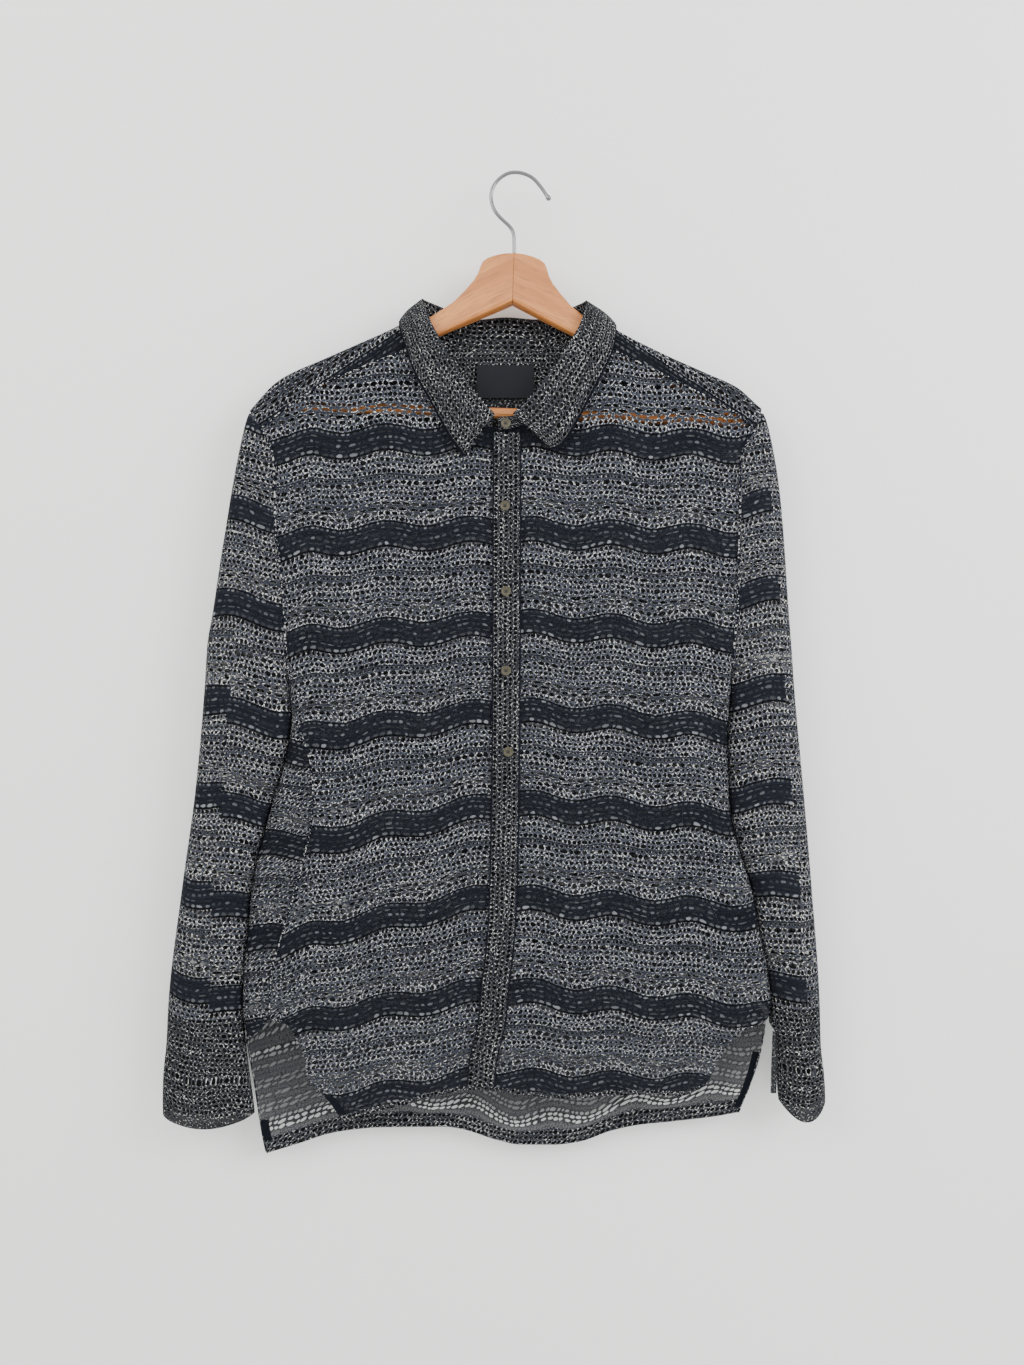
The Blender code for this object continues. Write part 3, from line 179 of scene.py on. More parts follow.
sleeveFolds = [  # z at the outer edge, z at the inner edge, half width, rise
    (-420.0, -480.0, 12.0, -2.0),
    (-520.0, -590.0, 14.0, 1.6),
    (-610.0, -660.0, 12.0, -1.8),
    (-700.0, -720.0, 13.0, 1.4),
    (-790.0, -770.0, 12.0, -1.6),
]
collarRows = [  # roll line x, y, z, outer edge x, y, z, neck edge x and drop from the shoulder
    (-17.0, -20.5, -233.0, -45.5, -19.5, -270.0, -21.0, -109.0),
    (-35.0, -21.5, -212.6, -60.0, -19.5, -250.0, -39.5, -97.0),
    (-51.5, -20.5, -190.0, -76.0, -19.0, -220.5, -57.0, -76.5),
    (-65.5, -17.5, -167.0, -92.0, -18.0, -192.0, -72.0, -54.5),
    (-77.0, -14.0, -146.0, -101.5, -15.5, -165.0, -86.5, -33.5),
    (-83.0, -12.0, -130.0, -106.5, -13.5, -148.5, -88.9, -9.0),
    (-87.5, -0.5, -118.5, -108.0, 2.0, -138.0, -89.5, 0.3),
    (-83.0, 9.5, -117.5, -104.0, 18.0, -158.0, -87.6, 9.5),
    (-62.0, 13.5, -125.0, -86.0, 19.5, -182.0, -72.5, 24.5),
    (-42.0, 16.5, -133.0, -52.0, 20.5, -198.0, -42.0, 32.5),
    (-8.0, 18.5, -130.0, -8.0, 21.0, -204.0, -8.0, 34.5),
    (26.0, 16.5, -132.5, 38.0, 20.5, -198.0, 26.0, 32.5),
    (46.0, 13.5, -126.5, 72.0, 19.5, -184.0, 56.8, 24.5),
    (65.5, 9.5, -119.5, 94.0, 18.0, -163.0, 72.3, 9.5),
    (70.0, -0.5, -120.0, 97.0, 2.0, -141.0, 73.5, 0.3),
    (67.5, -12.4, -131.0, 96.0, -11.0, -153.0, 73.5, -9.0),
    (62.5, -14.0, -147.0, 92.5, -15.5, -172.0, 70.5, -29.5),
    (50.0, -17.5, -168.5, 78.5, -18.0, -200.0, 56.0, -54.0),
    (35.5, -20.5, -190.5, 63.0, -19.0, -230.0, 41.0, -76.0),
    (18.0, -21.5, -213.5, 46.5, -19.5, -257.5, 23.5, -96.5),
    (-1.0, -20.5, -232.5, 34.0, -19.5, -264.0, 4.5, -108.5),
]


def softCurve(rows, column=1):
    rows = sorted(rows)
    at = np.array([row[0] for row in rows])
    value = np.array([row[column] for row in rows])
    step = np.diff(at)
    slope = np.diff(value) / step
    lean = np.zeros(len(at))
    lean[0] = slope[0]
    lean[-1] = slope[-1]
    for i in range(1, len(at) - 1):
        if slope[i - 1] * slope[i] > 0:
            lean[i] = 2 / (1 / slope[i - 1] + 1 / slope[i])

    def curve(t):
        t = min(max(t, at[0]), at[-1])
        i = max(min(int(np.searchsorted(at, t, side="right")) - 1, len(at) - 2), 0)
        s = (t - at[i]) / step[i]
        rise = s * s * (3 - 2 * s)
        near = s * (1 - s) * (1 - s) * step[i] * lean[i]
        far = s * s * (s - 1) * step[i] * lean[i + 1]
        return float(value[i] * (1 - rise) + value[i + 1] * rise + near + far)

    return curve


def along(rows, t):
    # a point at t, 0 to 1, on a Catmull-Rom curve through all the columns
    rows = np.array(rows, float)
    at = t * (len(rows) - 1)
    i = min(int(at), len(rows) - 2)
    s = at - i
    p0, p1, p2, p3 = (rows[min(max(k, 0), len(rows) - 1)] for k in (i - 1, i, i + 1, i + 2))
    bend = 2 * p0 - 5 * p1 + 4 * p2 - p3
    twist = 3 * p1 - p0 - 3 * p2 + p3
    return 0.5 * (2 * p1 + (p2 - p0) * s + bend * s**2 + twist * s**3)


def blend(low, high, t):
    s = min(max((t - low) / (high - low), 0.0), 1.0)
    return s * s * (3 - 2 * s)


def bySide(rows):
    return {"left": softCurve(rows, 1), "right": softCurve(rows, 2)}


ridge = {side: softCurve(rows) for side, rows in ridgeRows.items()}
frontTop = {side: softCurve(rows) for side, rows in frontTopRows.items()}
frontHem = {side: softCurve(rows) for side, rows in frontHemRows.items()}
bodyEdge = bySide(sideRows)
sleeveEdge = bySide(sleeveEdgeRows)
cuffEdge = bySide(sleeveInnerRows)
halfDepth = {-1: softCurve(depthRows, 1), 1: softCurve(depthRows, 2)}  # -1 in front, 1 behind
folds = {-1: frontFolds, 1: backFolds}
swell = softCurve(swellRows)
centreFront = softCurve(centreRows)
sideSeam = softCurve(sideSeamRows)


def outline(side):
    # the shoulder's fold and the sleeve's outer edge as one line
    edge = sleeveEdge[side]
    shoulder = [(x, ridge[side](x)) for x in np.linspace(neckEnd[side], edge(-226.0), 60)]
    return np.array(shoulder + [(edge(z), z) for z in np.linspace(-228.0, -902.0, 110)])


outlines = {side: outline(side) for side in inward}


def sideOf(x):
    return "left" if x < shape["centre"] else "right"


def toOutline(side, x, z):
    line = outlines[side]
    start = line[:-1]
    run = line[1:] - start
    reach = np.array([x, z]) - start
    s = np.clip((reach * run).sum(1) / (run * run).sum(1), 0, 1)
    return float(np.sqrt(((reach - run * s[:, None]) ** 2).sum(1).min()))


def rounding(distance, radius):
    s = 1 - min(max(distance / radius, 0.0), 1.0)
    return math.sqrt(max(1 - s * s, 0.0))


def armOpen(z):
    return math.sqrt(blend(shape["armpit"], shape["armholeOpen"], z))


def foldSum(table, x, z):
    total = 0.0
    for topX, footX, topZ, footZ, halfWidth, rise in table:
        t = (topZ - z) / (topZ - footZ)
        if 0 < t < 1:
            middle = topX + (footX - topX) * t
            total += rise * math.exp(-(((x - middle) / halfWidth) ** 2)) * math.sin(math.pi * t)
    return total


def bodyY(face, x, z):
    # the cloth's outer face in front, -1, or behind, 1
    side = sideOf(x)
    closed = abs(x - bodyEdge[side](z))
    opening = armOpen(z)
    if face > 0:
        high, low, most = shape["tailOpen"]
        opening = max(opening, most * blend(high, low, z))
    share = opening + (1 - opening) * rounding(closed, shape["roll"])
    depth = halfDepth[face](z)
    if z < shape["foldsTop"]:
        depth += foldSum(folds[face], x, z) * rounding(closed, shape["foldsFade"])
    lift = 1.0
    if z > shape["shoulderFoot"]:
        lift = rounding(toOutline(side, x, z), shape["ridgeRoll"])
    return face * depth * share * lift


def planRun(length, radius):
    quarter = radius * math.pi / 2
    if length < quarter:
        return radius * (1 - math.cos(length / radius))
    return radius + length - quarter


def halfRing(z):
    return bodyEdge["right"](z) - bodyEdge["left"](z) + shape["roll"] * (math.pi - 2)


def ringPoint(z, p, inset=shape["inset"]):
    # p runs from the left fold along the front to the right fold, then back along the back
    half = halfRing(z)
    p = p % (2 * half)
    face = -1 if p <= half else 1
    fromLeft, fromRight = min(p, 2 * half - p), abs(half - p)
    side = "left" if fromLeft < fromRight else "right"
    sign = inward[side]
    run = planRun(min(fromLeft, fromRight), shape["roll"])
    x = bodyEdge[side](z) + sign * run
    y = bodyY(face, x, z)
    closed = 1 - armOpen(z)
    # the inset goes straight in from the round of the fold
    turn = min(run / shape["roll"], 1.0)
    x += sign * 0.15 * (1 - turn) * closed
    y -= face * min(inset, abs(y)) * (1 - (1 - turn) * closed)
    return np.array([x, y, z])


def ringAt(z, x):
    fromLeft = x - bodyEdge["left"](z)
    fromRight = bodyEdge["right"](z) - x
    roll = shape["roll"]
    if fromLeft < roll:
        return roll * math.acos(1 - max(fromLeft, 0.0) / roll)
    if fromRight < roll:
        return halfRing(z) - roll * math.acos(1 - max(fromRight, 0.0) / roll)
    return fromLeft - roll + roll * math.pi / 2


def tabled(table):
    # a slit's edge and the seam above it, read from an even table
    seamFoot = max(row[0] for row in table)
    slit = softCurve(table)
    at = np.arange(-940.0, -223.0, 1.0)
    values = np.array([slit(z) if z < seamFoot else sideSeam(z) for z in at])
    return lambda z: float(np.interp(z, at, values))


slitEdge = {name: tabled(table) for name, table in slitRows.items()}


def backEdge(side, z):
    return (2 if side == "left" else 1) * halfRing(z) + slitEdge[side + "Back"](z)


# The knit repeats all the way down: a wavy dark band, then melange. Each table gives the
# height of every band's middle at two places across.
bands = {
    "repeat": 88.0,
    "swing": 4.0,
    "cuff": 6.84,  # the sleeves' rows turn back here, so that the cuffs have no band
    "dip": (-184.0, -215.0, 6.0),  # x from, x to and depth of the dip at the left side seam
    "left": {
        "x": (-200.3, -22.0), "crest": -120.5, "wave": 78.5,
        "rows": [
            (-162.0, -156.0), (-259.0, -251.5), (-350.5, -341.0), (-443.2, -430.1),
            (-534.2, -510.8), (-635.6, -599.9), (-722.8, -684.4), (-801.6, -772.6),
            (-884.2, -856.1), (-972.0, -944.0),
        ],
    },
    "right": {
        "x": (7.0, 207.8), "crest": 19.3, "wave": 74.0,
        "rows": [
            (-156.0, -162.0), (-252.5, -262.5), (-341.5, -350.5), (-428.2, -440.4),
            (-510.8, -527.7), (-598.0, -612.1), (-687.2, -701.2), (-774.5, -795.1),
            (-859.8, -863.6), (-948.0, -952.0),
        ],
    },
    "back": {
        "x": (-200.0, 200.0), "crest": 0.0, "wave": 76.0,
        "rows": [
            (z, z) for z in (-195, -283, -371, -459.5, -547.5, -636, -724, -812, -900, -988)
        ],
    },
    "sleeveLeft": {
        "x": (-330.0, -220.0), "crest": -262.0, "wave": 80.0,
        "rows": [
            (z + 9, z - 10)
            for z in (-230, -318.8, -407.7, -510.7, -597.8, -691.5, -780.4, -872, -960)
        ],
    },
    "sleeveRight": {
        "x": (210.0, 290.0), "crest": 240.0, "wave": 80.0,
        "rows": [
            (z - 4, z + 5)
            for z in (-228, -314.1, -396.5, -490.1, -588.4, -672.7, -771.0, -862, -950)
        ],
    },
}


def patternDown(part, x, z):
    # how far down the pattern this place lies; a whole repeat is the middle of a band
    table = bands[part]
    x0, x1 = table["x"]
    t = min(max((x - x0) / (x1 - x0), -0.3), 1.3)
    middles = np.array([a + (b - a) * t for a, b in table["rows"]])
    count = np.arange(len(middles))
    if part == "left":
        fromX, toX, dip = bands["dip"]
        z += dip * blend(fromX, toX, x)
    row = float(np.interp(-z, -middles, count))
    swing = bands["swing"] * (0.35 + 0.65 * math.cos(math.pi * row) ** 2)
    wave = swing * math.cos(2 * math.pi * (x - table["crest"]) / table["wave"])
    row = float(np.interp(-(z - wave), -middles, count))
    if part.startswith("sleeve"):
        row = bands["cuff"] - abs(row - bands["cuff"])
    return row * bands["repeat"]


class Signal:
    # a value in a material; arithmetic on it adds Math nodes
    def __init__(self, tree, socket=None):
        self.tree = tree
        self.socket = socket

    def node(self, kind, settings=None, inputs=None, output=0):
        made = self.tree.nodes.new(kind)
        for key, value in (settings or {}).items():
            if key == "stops":
                ramp = made.color_ramp
                while len(ramp.elements) < len(value):
                    ramp.elements.new(1.0)
                for element, (position, colour) in zip(ramp.elements, value):
                    element.position = position
                    element.color = (*colour, 1.0)
            elif key == "steps":
                made.color_ramp.interpolation = value
            else:
                setattr(made, key, value)
        for key, value in (inputs or {}).items():
            if isinstance(value, Signal):
                self.tree.links.new(value.socket, made.inputs[key])
            else:
                made.inputs[key].default_value = value
        return Signal(self.tree, made.outputs[output])

    def outputs(self):
        # every output of the node that this value comes from
        return [Signal(self.tree, socket) for socket in self.socket.node.outputs]

    def split(self):
        return self.node("ShaderNodeSeparateColor", None, {0: self}).outputs()

    def joined(self, *others):
        return self.node("ShaderNodeCombineXYZ", None, dict(enumerate((self, *others))))

    def noise(self, scale, detail, output=0, **others):
        sockets = {"Vector": self, "Scale": scale, "Detail": detail, **others}
        return self.node("ShaderNodeTexNoise", None, sockets, output)

    def bump(self, strength, distance):
        sockets = {"Strength": strength, "Distance": distance, "Height": self}
        return self.node("ShaderNodeBump", None, sockets)

    def mapped(self, **sockets):
        return self.node("ShaderNodeMapping", None, {"Vector": self, **sockets})

    def times(self, other):
        # two colours multiplied
        return self.node("ShaderNodeVectorMath", {"operation": "MULTIPLY"}, {0: self, 1: other})

    def maths(self, operation, *others):
        return self.node(
            "ShaderNodeMath", {"operation": operation}, dict(enumerate((self, *others)))
        )

    def __add__(self, other):
        return self.maths("ADD", other)

    __radd__ = __add__

    def __sub__(self, other):
        return self.maths("SUBTRACT", other)

    def __rsub__(self, other):
        return self.node("ShaderNodeMath", {"operation": "SUBTRACT"}, {0: other, 1: self})

    def __mul__(self, other):
        return self.maths("MULTIPLY", other)

    __rmul__ = __mul__

    def __truediv__(self, other):
        return self.maths("DIVIDE", other)

    def smooth(self, low, high):
        return self.node(
            "ShaderNodeMapRange", {"interpolation_type": "SMOOTHSTEP"},
            {"Value": self, "From Min": low, "From Max": high},
        )

    def mix(self, first, second):
        # first where this is 0, second where it is 1; plain colours are three numbers
        pair = [(*one, 1.0) if isinstance(one, tuple) else one for one in (first, second)]
        sockets = {0: self, 6: pair[0], 7: pair[1]}
        return self.node("ShaderNodeMix", {"data_type": "RGBA"}, sockets, output=2)


def newMaterial(name, source="Object"):
    made = bpy.data.materials.new(name)
    made.use_nodes = True
    kind = {"UV": "ShaderNodeUVMap", "Object": "ShaderNodeTexCoord"}[source]
    place = Signal(made.node_tree).node(kind, output=source)
    return made, made.node_tree.nodes["Principled BSDF"], place


def feed(shader, sockets):
    for socket, value in sockets.items():
        if isinstance(value, Signal):
            value.tree.links.new(value.socket, shader.inputs[socket])
        elif isinstance(value, tuple):
            shader.inputs[socket].default_value = (*value, 1.0)
        else:
            shader.inputs[socket].default_value = value


bodyRows = [
    # hole half width and half height in cells, how open; pitch, light flecks, the painted shade
    # in a hole that isn't open; veil over the whole row, tone
    (0.32, 0.26, 0.00, 0.90, 0.00, 0.120, 0.10, 0.34),
    (0.36, 0.14, 0.00, 0.60, 0.00, 0.050, 0.12, 0.26),
    (0.34, 0.26, 0.00, 0.75, 0.00, 0.075, 0.12, 0.30),
    (0.36, 0.14, 0.00, 0.60, 0.00, 0.050, 0.12, 0.26),
    (0.36, 0.32, 0.10, 0.66, 0.00, 0.150, 0.10, 0.30),
    (0.36, 0.40, 0.40, 1.00, 0.95, 0.003, 0.00, 0.80),
    (0.39, 0.37, 0.25, 1.00, 1.00, 0.003, 0.00, 0.95),
    (0.36, 0.34, 0.20, 0.94, 0.95, 0.003, 0.00, 0.90),
    (0.39, 0.37, 0.25, 1.00, 1.00, 0.003, 0.00, 0.95),
    (0.32, 0.28, 0.15, 1.10, 0.70, 0.004, 0.00, 0.70),
    (0.38, 0.42, 0.50, 0.70, 1.00, 0.002, 0.00, 0.80),
    (0.36, 0.34, 0.20, 0.94, 0.88, 0.003, 0.00, 0.85),
    (0.39, 0.38, 0.25, 1.00, 1.00, 0.003, 0.00, 0.95),
    (0.36, 0.33, 0.20, 0.94, 0.90, 0.003, 0.00, 0.90),
    (0.37, 0.31, 1.00, 0.50, 0.84, 0.002, 0.00, 0.60),
    (0.37, 0.31, 1.00, 0.50, 0.84, 0.002, 0.00, 0.60),
    (0.37, 0.40, 0.55, 0.70, 1.00, 0.002, 0.00, 0.80),
    (0.36, 0.40, 0.40, 1.00, 1.05, 0.003, 0.00, 1.00),
]
hemRow = (0.38, 0.36, 0.00, 1.00, 0.86, 0.003, 0.00, 0.50)
veilRow = (0.34, 0.28, 0.16, 1.60, 0.14, 0.012, 0.23, 0.46)
ovalRow = (0.41, 0.37, 0.92, 0.80, 0.00, 0.020, 0.14, 0.18)
greyRow = (0.40, 0.37, 0.34, 0.74, 0.14, 0.040, 0.20, 0.34)
beadRow = (0.37, 0.35, 0.50, 0.90, 0.14, 0.030, 0.19, 0.34)
tailRows = (
    [hemRow] * 3 + [veilRow, ovalRow, ovalRow, beadRow, veilRow, greyRow, greyRow, veilRow]
    + [greyRow, veilRow, greyRow, greyRow, veilRow, veilRow, greyRow, veilRow, beadRow, ovalRow]
    + [veilRow, veilRow, beadRow, beadRow, veilRow]
)
plainRows = [
    (0.39, 0.37, 0.04, 1.00, 0.84, 0.003, 0.00, 0.42),
    (0.36, 0.34, 0.03, 0.95, 0.84, 0.003, 0.00, 0.38),
    (0.39, 0.38, 0.04, 1.00, 0.80, 0.003, 0.00, 0.42),
    (0.36, 0.34, 0.03, 0.95, 0.84, 0.003, 0.00, 0.38),
]
net = {
    "cell": 4.6,  # mm between stitches
    "bandHalf": 0.139,  # half a band's height, in repeats
    "ink": (0.0045, 0.0062, 0.0125),
    "mid": (0.053, 0.060, 0.084),
    "light": (0.74, 0.74, 0.71),
    "cream": (0.76, 0.74, 0.67),
    "drift": 0.11,  # scales of the noises, a mm
    "fleck": 0.52,
    "grain": 1.35,
    "stagger": 0.37,  # how far each row stands aside from the last, in cells
    "wander": (1.4, 0.5),  # how far the drift moves stitches across and up
    "jitter": 0.12,  # how far a hole leaves its cell's middle
    "holeSpread": (0.82, 0.36),  # least size of a hole, and how much more by chance
    "holeEdge": (0.80, 1.04),  # the hole's soft edge, in its own half widths
    "ring": (1.18, 0.05, 0.28),  # the rim round the hole, a ridge in the bump and a painted highlight on the flecks: where it lies, and its full and faded width
    "fleckCut": (0.540, 0.590),  # the noise between which yarn turns light
    "lines": ((0.012, 0.014, 0.25), (0.274, 0.016, 0.15), (0.505, 0.009, 0.35)),
}


def rowRamp(rowAt, rows, first):
    # three columns of the table, stepped from row to row
    stops = [(i / len(rows), (*row[first:first + 3], 0.0)[:3]) for i, row in enumerate(rows)]
    sockets = {0: rowAt}
    ramp = rowAt.node("ShaderNodeValToRGB", {"stops": stops, "steps": "CONSTANT"}, sockets)
    return ramp.split()


def yarnLines(inRepeat):
    # narrow dark rows where the yarn changes; each has its place, half width and shade
    stops = [(0.0, (1.0, 1.0, 1.0))]
    for at, width, shade in net["lines"]:
        stops += [(at - width, (1.0, 1.0, 1.0)), (at - width * 0.4, (shade,) * 3)]
        stops += [(at + width * 0.4, (shade,) * 3), (at + width, (1.0, 1.0, 1.0))]
    return inRepeat.node("ShaderNodeValToRGB", {"stops": stops}, {0: inRepeat})


def netMaterial(
    name, rows, repeat, light="light", banded=False, opening=1.0, paintedLight=1.0, cell=net["cell"]
):
    # the uv map is the cloth in mm; opening scales the holes' alpha, and lit scales the yarn's
    # brightness: painted light above 1, painted shade below 1
    made, shader, uv = newMaterial(name, "UV")
    across, down = uv.node("ShaderNodeSeparateXYZ", None, {0: uv}).outputs()[:2]
    drift, driftUp = uv.noise(net["drift"], 2.0, output=1).split()[:2]
    repeats = down / repeat + (net["bandHalf"] if banded else 0.0)
    stitchRow = repeats * len(rows) + (driftUp - 0.5) * net["wander"][1]
    rowAt = (stitchRow / len(rows)).maths("FRACT")
    halfWide, halfHigh, openShare = rowRamp(rowAt, rows, 0)
    pitch, fleckShare, holeShade = rowRamp(rowAt, rows, 3)
    veil, tone = rowRamp(rowAt, rows, 6)[:2]

    # one stitch a cell, each with its own chances
    rowIndex = stitchRow.maths("FLOOR")
    cellAt = across / cell * pitch + rowIndex * net["stagger"] + (drift - 0.5) * net["wander"][0]
    key = {"Vector": cellAt.maths("FLOOR").joined(rowIndex)}
    size, mixed = uv.node("ShaderNodeTexWhiteNoise", {"noise_dimensions": "2D"}, key).outputs()
    aside, chance = mixed.split()[:2]
    least, spread = net["holeSpread"]
    grow = size * spread + least
    jitter = net["jitter"]
    sideways = (cellAt.maths("FRACT") - 0.5 + (aside - 0.5) * jitter) / (halfWide * grow)
    upright = (stitchRow.maths("FRACT") - 0.5 + (chance - 0.5) * jitter) / (halfHigh * grow)
    apart = (sideways * sideways + upright * upright).maths("SQRT")
    hole = 1.0 - apart.smooth(*net["holeEdge"])
    ringAt, full, faded = net["ring"]
    ring = 1.0 - (apart - ringAt).maths("ABSOLUTE").smooth(full, faded)

    # light flecks of the melange yarn, in streaks along the rows; they show mostly on the rim round
    # each hole, a painted highlight
    fleck = uv.noise(net["fleck"], 2.5, Roughness=0.75)
    grain = uv.noise(net["grain"], 1.5)
    streak = (across * 0.02).joined(down * 0.17).noise(1.0, 2.0)
    flecks = fleck + (fleckShare - 1.0) * 0.12 + (streak - 0.5) * 0.20
    flecks = flecks.smooth(*net["fleckCut"])
    bright = (flecks * 0.94 + 0.06) * (ring * 0.95 + 0.05) * fleckShare.smooth(0.0, 0.4)
    bright = bright * (grain.smooth(0.34, 0.52) * 0.4 + 0.6)
    # scale is the row's tone times lit, the piece's painted light and shade
    scale = tone * paintedLight
    worn = grain.smooth(0.36, 0.66) * (streak * 1.2 + 0.4)
    yarn = worn.mix(net["ink"], net["mid"]).times(scale.joined(scale, scale))
    yarn = (bright * paintedLight).maths("MINIMUM", 1.0).mix(yarn, net[light])

    # painted shade in a hole that isn't quite open: a grey that stands in for the dim cloth behind
    # it
    holeShadeColour = holeShade * (chance * chance * 2.2 + 0.25)
    holeShadeColour = (holeShadeColour * 0.95).joined(holeShadeColour, holeShadeColour * 1.05)
    colour = (hole * (1.0 - (holeShade * 8.0).maths("MINIMUM", 0.5))).mix(yarn, holeShadeColour)
    if banded:
        colour = colour.times(yarnLines(repeats.maths("FRACT")))
    clear = hole * openShare * opening
    height = (1.0 - hole) * 0.6 + ring * 0.3 + fleck * 0.3
    feed(shader, {
        "Base Color": colour, "Roughness": 0.8, "Specular IOR Level": 0.05,
        "Normal": height.bump(0.6, 0.0007),
        "Alpha": 1.0 - clear.maths("MAXIMUM", veil * grain.smooth(0.35, 0.65) * opening),
    })
    return made


repeat = bands["repeat"]
# lit paints shade over the back (0.9), the yoke (0.8) and the plain knit (0.95), and paints light
# over the sleeves (1.12)
frontNet = netMaterial("Melange net", bodyRows, repeat, banded=True)
sleeveNet = netMaterial("Sleeve net", bodyRows, repeat, "cream", True, 0.6, 1.12, 4.3)
backNet = netMaterial("Back net", bodyRows, repeat, banded=True, paintedLight=0.9)
yokeNet = netMaterial("Yoke net", bodyRows, repeat, banded=True, opening=0.12, paintedLight=0.8)
tailNet = netMaterial("Tail net", tailRows, 119.6)
plainNet = netMaterial("Plain knit", plainRows, 17.6, paintedLight=0.95, cell=4.2)


def quietMaterial(name, colour, roughness, metallic=0.0, grain=None, gloss=0.5):
    made, shader, place = newMaterial(name)
    feed(shader, {
        "Specular IOR Level": gloss, "Base Color": colour, "Roughness": roughness,
        "Metallic": metallic,
    })
    if grain:
        scale, depth = grain
        feed(shader, {"Normal": place.noise(scale, 2.0).bump(0.5, depth)})
    return made


def seamMaterial():
    made, shader, place = newMaterial("Seam yarn")
    fleck = place.noise(480.0, 2.0)
    feed(shader, {
        "Base Color": (fleck.smooth(0.54, 0.62) * 0.55).mix(net["ink"], net["light"]),
        "Roughness": 0.8, "Specular IOR Level": 0.05, "Normal": fleck.bump(0.6, 0.0006),
    })
    return made


blackTulle = quietMaterial("Black tulle", (0.005, 0.006, 0.009), 0.85, 0.0, (900.0, 0.0005), 0.05)
edgeYarn = quietMaterial("Edge yarn", (0.006, 0.007, 0.011), 0.8, 0.0, (500.0, 0.0006), 0.05)
seamYarn = seamMaterial()
wire = quietMaterial("Polished wire", (0.20, 0.20, 0.205), 0.24, 1.0)
horn = quietMaterial("Horn", (0.060, 0.054, 0.034), 0.40, 0.0, (420.0, 0.0002), 0.3)
thread = quietMaterial("Thread", (0.012, 0.012, 0.013), 0.7)
satin = quietMaterial("Label satin", (0.006, 0.007, 0.010), 0.5, 0.0, (1500.0, 0.0002), 0.15)
jointGlue = quietMaterial("Joint", (0.10, 0.035, 0.010), 0.6)

wood = {
    "dark": (0.43, 0.143, 0.031),
    "pale": (0.61, 0.238, 0.062),
    "pore": (0.26, 0.09, 0.025),
    "fibre": (5.0, 60.0, 120.0),  # along the grain, through, across
    "rings": (3.0, 20.0, 34.0),
    "pores": (60.0, 500.0, 900.0),
    "turns": {"hanger_wood_left": 28.0, "hanger_wood_right": -24.0, "hanger_bar": 2.0},
}


def woodMaterial(name, turn):
    made, shader, place = newMaterial(name)
    turned = place.mapped(Rotation=(0.0, math.radians(turn), 0.0))
    fibre = turned.mapped(Scale=wood["fibre"]).noise(1.0, 4.0, Roughness=0.6)
    rings = turned.mapped(Scale=wood["rings"]).noise(1.0, 2.0, Distortion=0.6)
    pores = turned.mapped(Scale=wood["pores"]).noise(1.0, 1.0)
    colour = (fibre * 0.55 + rings * 0.45).smooth(0.36, 0.64).mix(wood["dark"], wood["pale"])
    colour = ((pores - 0.57).smooth(0.0, 0.08) * 0.5).mix(colour, wood["pore"])
    feed(shader, {
        "Base Color": colour, "Roughness": 0.42, "Coat Weight": 0.15,
        "Normal": fibre.bump(0.25, 0.0003),
    })
    return made


def addPiece(name, mesh, material, replaced=(), smooth=True):
    data = bpy.data.meshes.new(name)
    mesh.to_mesh(data)
    mesh.free()
    data.materials.append(material)
    if smooth:
        data.shade_smooth()
    piece = bpy.data.objects.new(name, data)
    bpy.context.scene.collection.objects.link(piece)
    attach(piece, "root")
    if replaced:
        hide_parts(*replaced)
    return piece


def clothSheet(
    name, columns, rows, place, pattern, material, replaced=(), wrap=False,
    edging=None, edgePattern=None, stepPattern=None,
):
    # a grid whose points go where place(u, v) says, with u and v from 0 to 1; pattern gives
    # the yarn coordinates of the same point. edging is the share of the rows from the foot up
    # that has a material of its own, and that material, with edgePattern for its yarn
    # coordinates. stepPattern adds to the coordinates of a whole face, so that a band can
    # break at a seam.
    mesh = bmesh.new()
    uvLayer = mesh.loops.layers.uv.new("UVMap")
    bmesh.ops.create_grid(mesh, x_segments=columns, y_segments=rows, size=0.5)
    spots = {point: (point.co.x + 0.5, point.co.y + 0.5) for point in mesh.verts}
    patterns = {}
    for point, (u, v) in spots.items():
        where = place(u, v)
        patterns[point] = pattern(u, v, where)
        point.co = Vector(where) * mm
    for face in mesh.faces:
        middleV = sum(spots[point][1] for point in face.verts) / len(face.verts)
        atEdge = edging is not None and middleV < edging[0]
        face.material_index = int(atEdge)
        step = (0.0, 0.0)
        if stepPattern:
            middle = sum((point.co for point in face.verts), Vector()) / len(face.verts) / mm
            downs = [patterns[point][1] for point in face.verts]
            step = stepPattern(middle, sum(downs) / len(downs))
        for loop in face.loops:
            if atEdge and edgePattern:
                loop[uvLayer].uv = edgePattern(*spots[loop.vert], loop.vert.co / mm)
            else:
                base = patterns[loop.vert]
                loop[uvLayer].uv = (base[0] + step[0], base[1] + step[1])
    if wrap:
        bmesh.ops.remove_doubles(mesh, verts=mesh.verts[:], dist=0.00002)
    piece = addPiece(name, mesh, material, replaced)
    if edging:
        piece.data.materials.append(edging[1])
    return piece


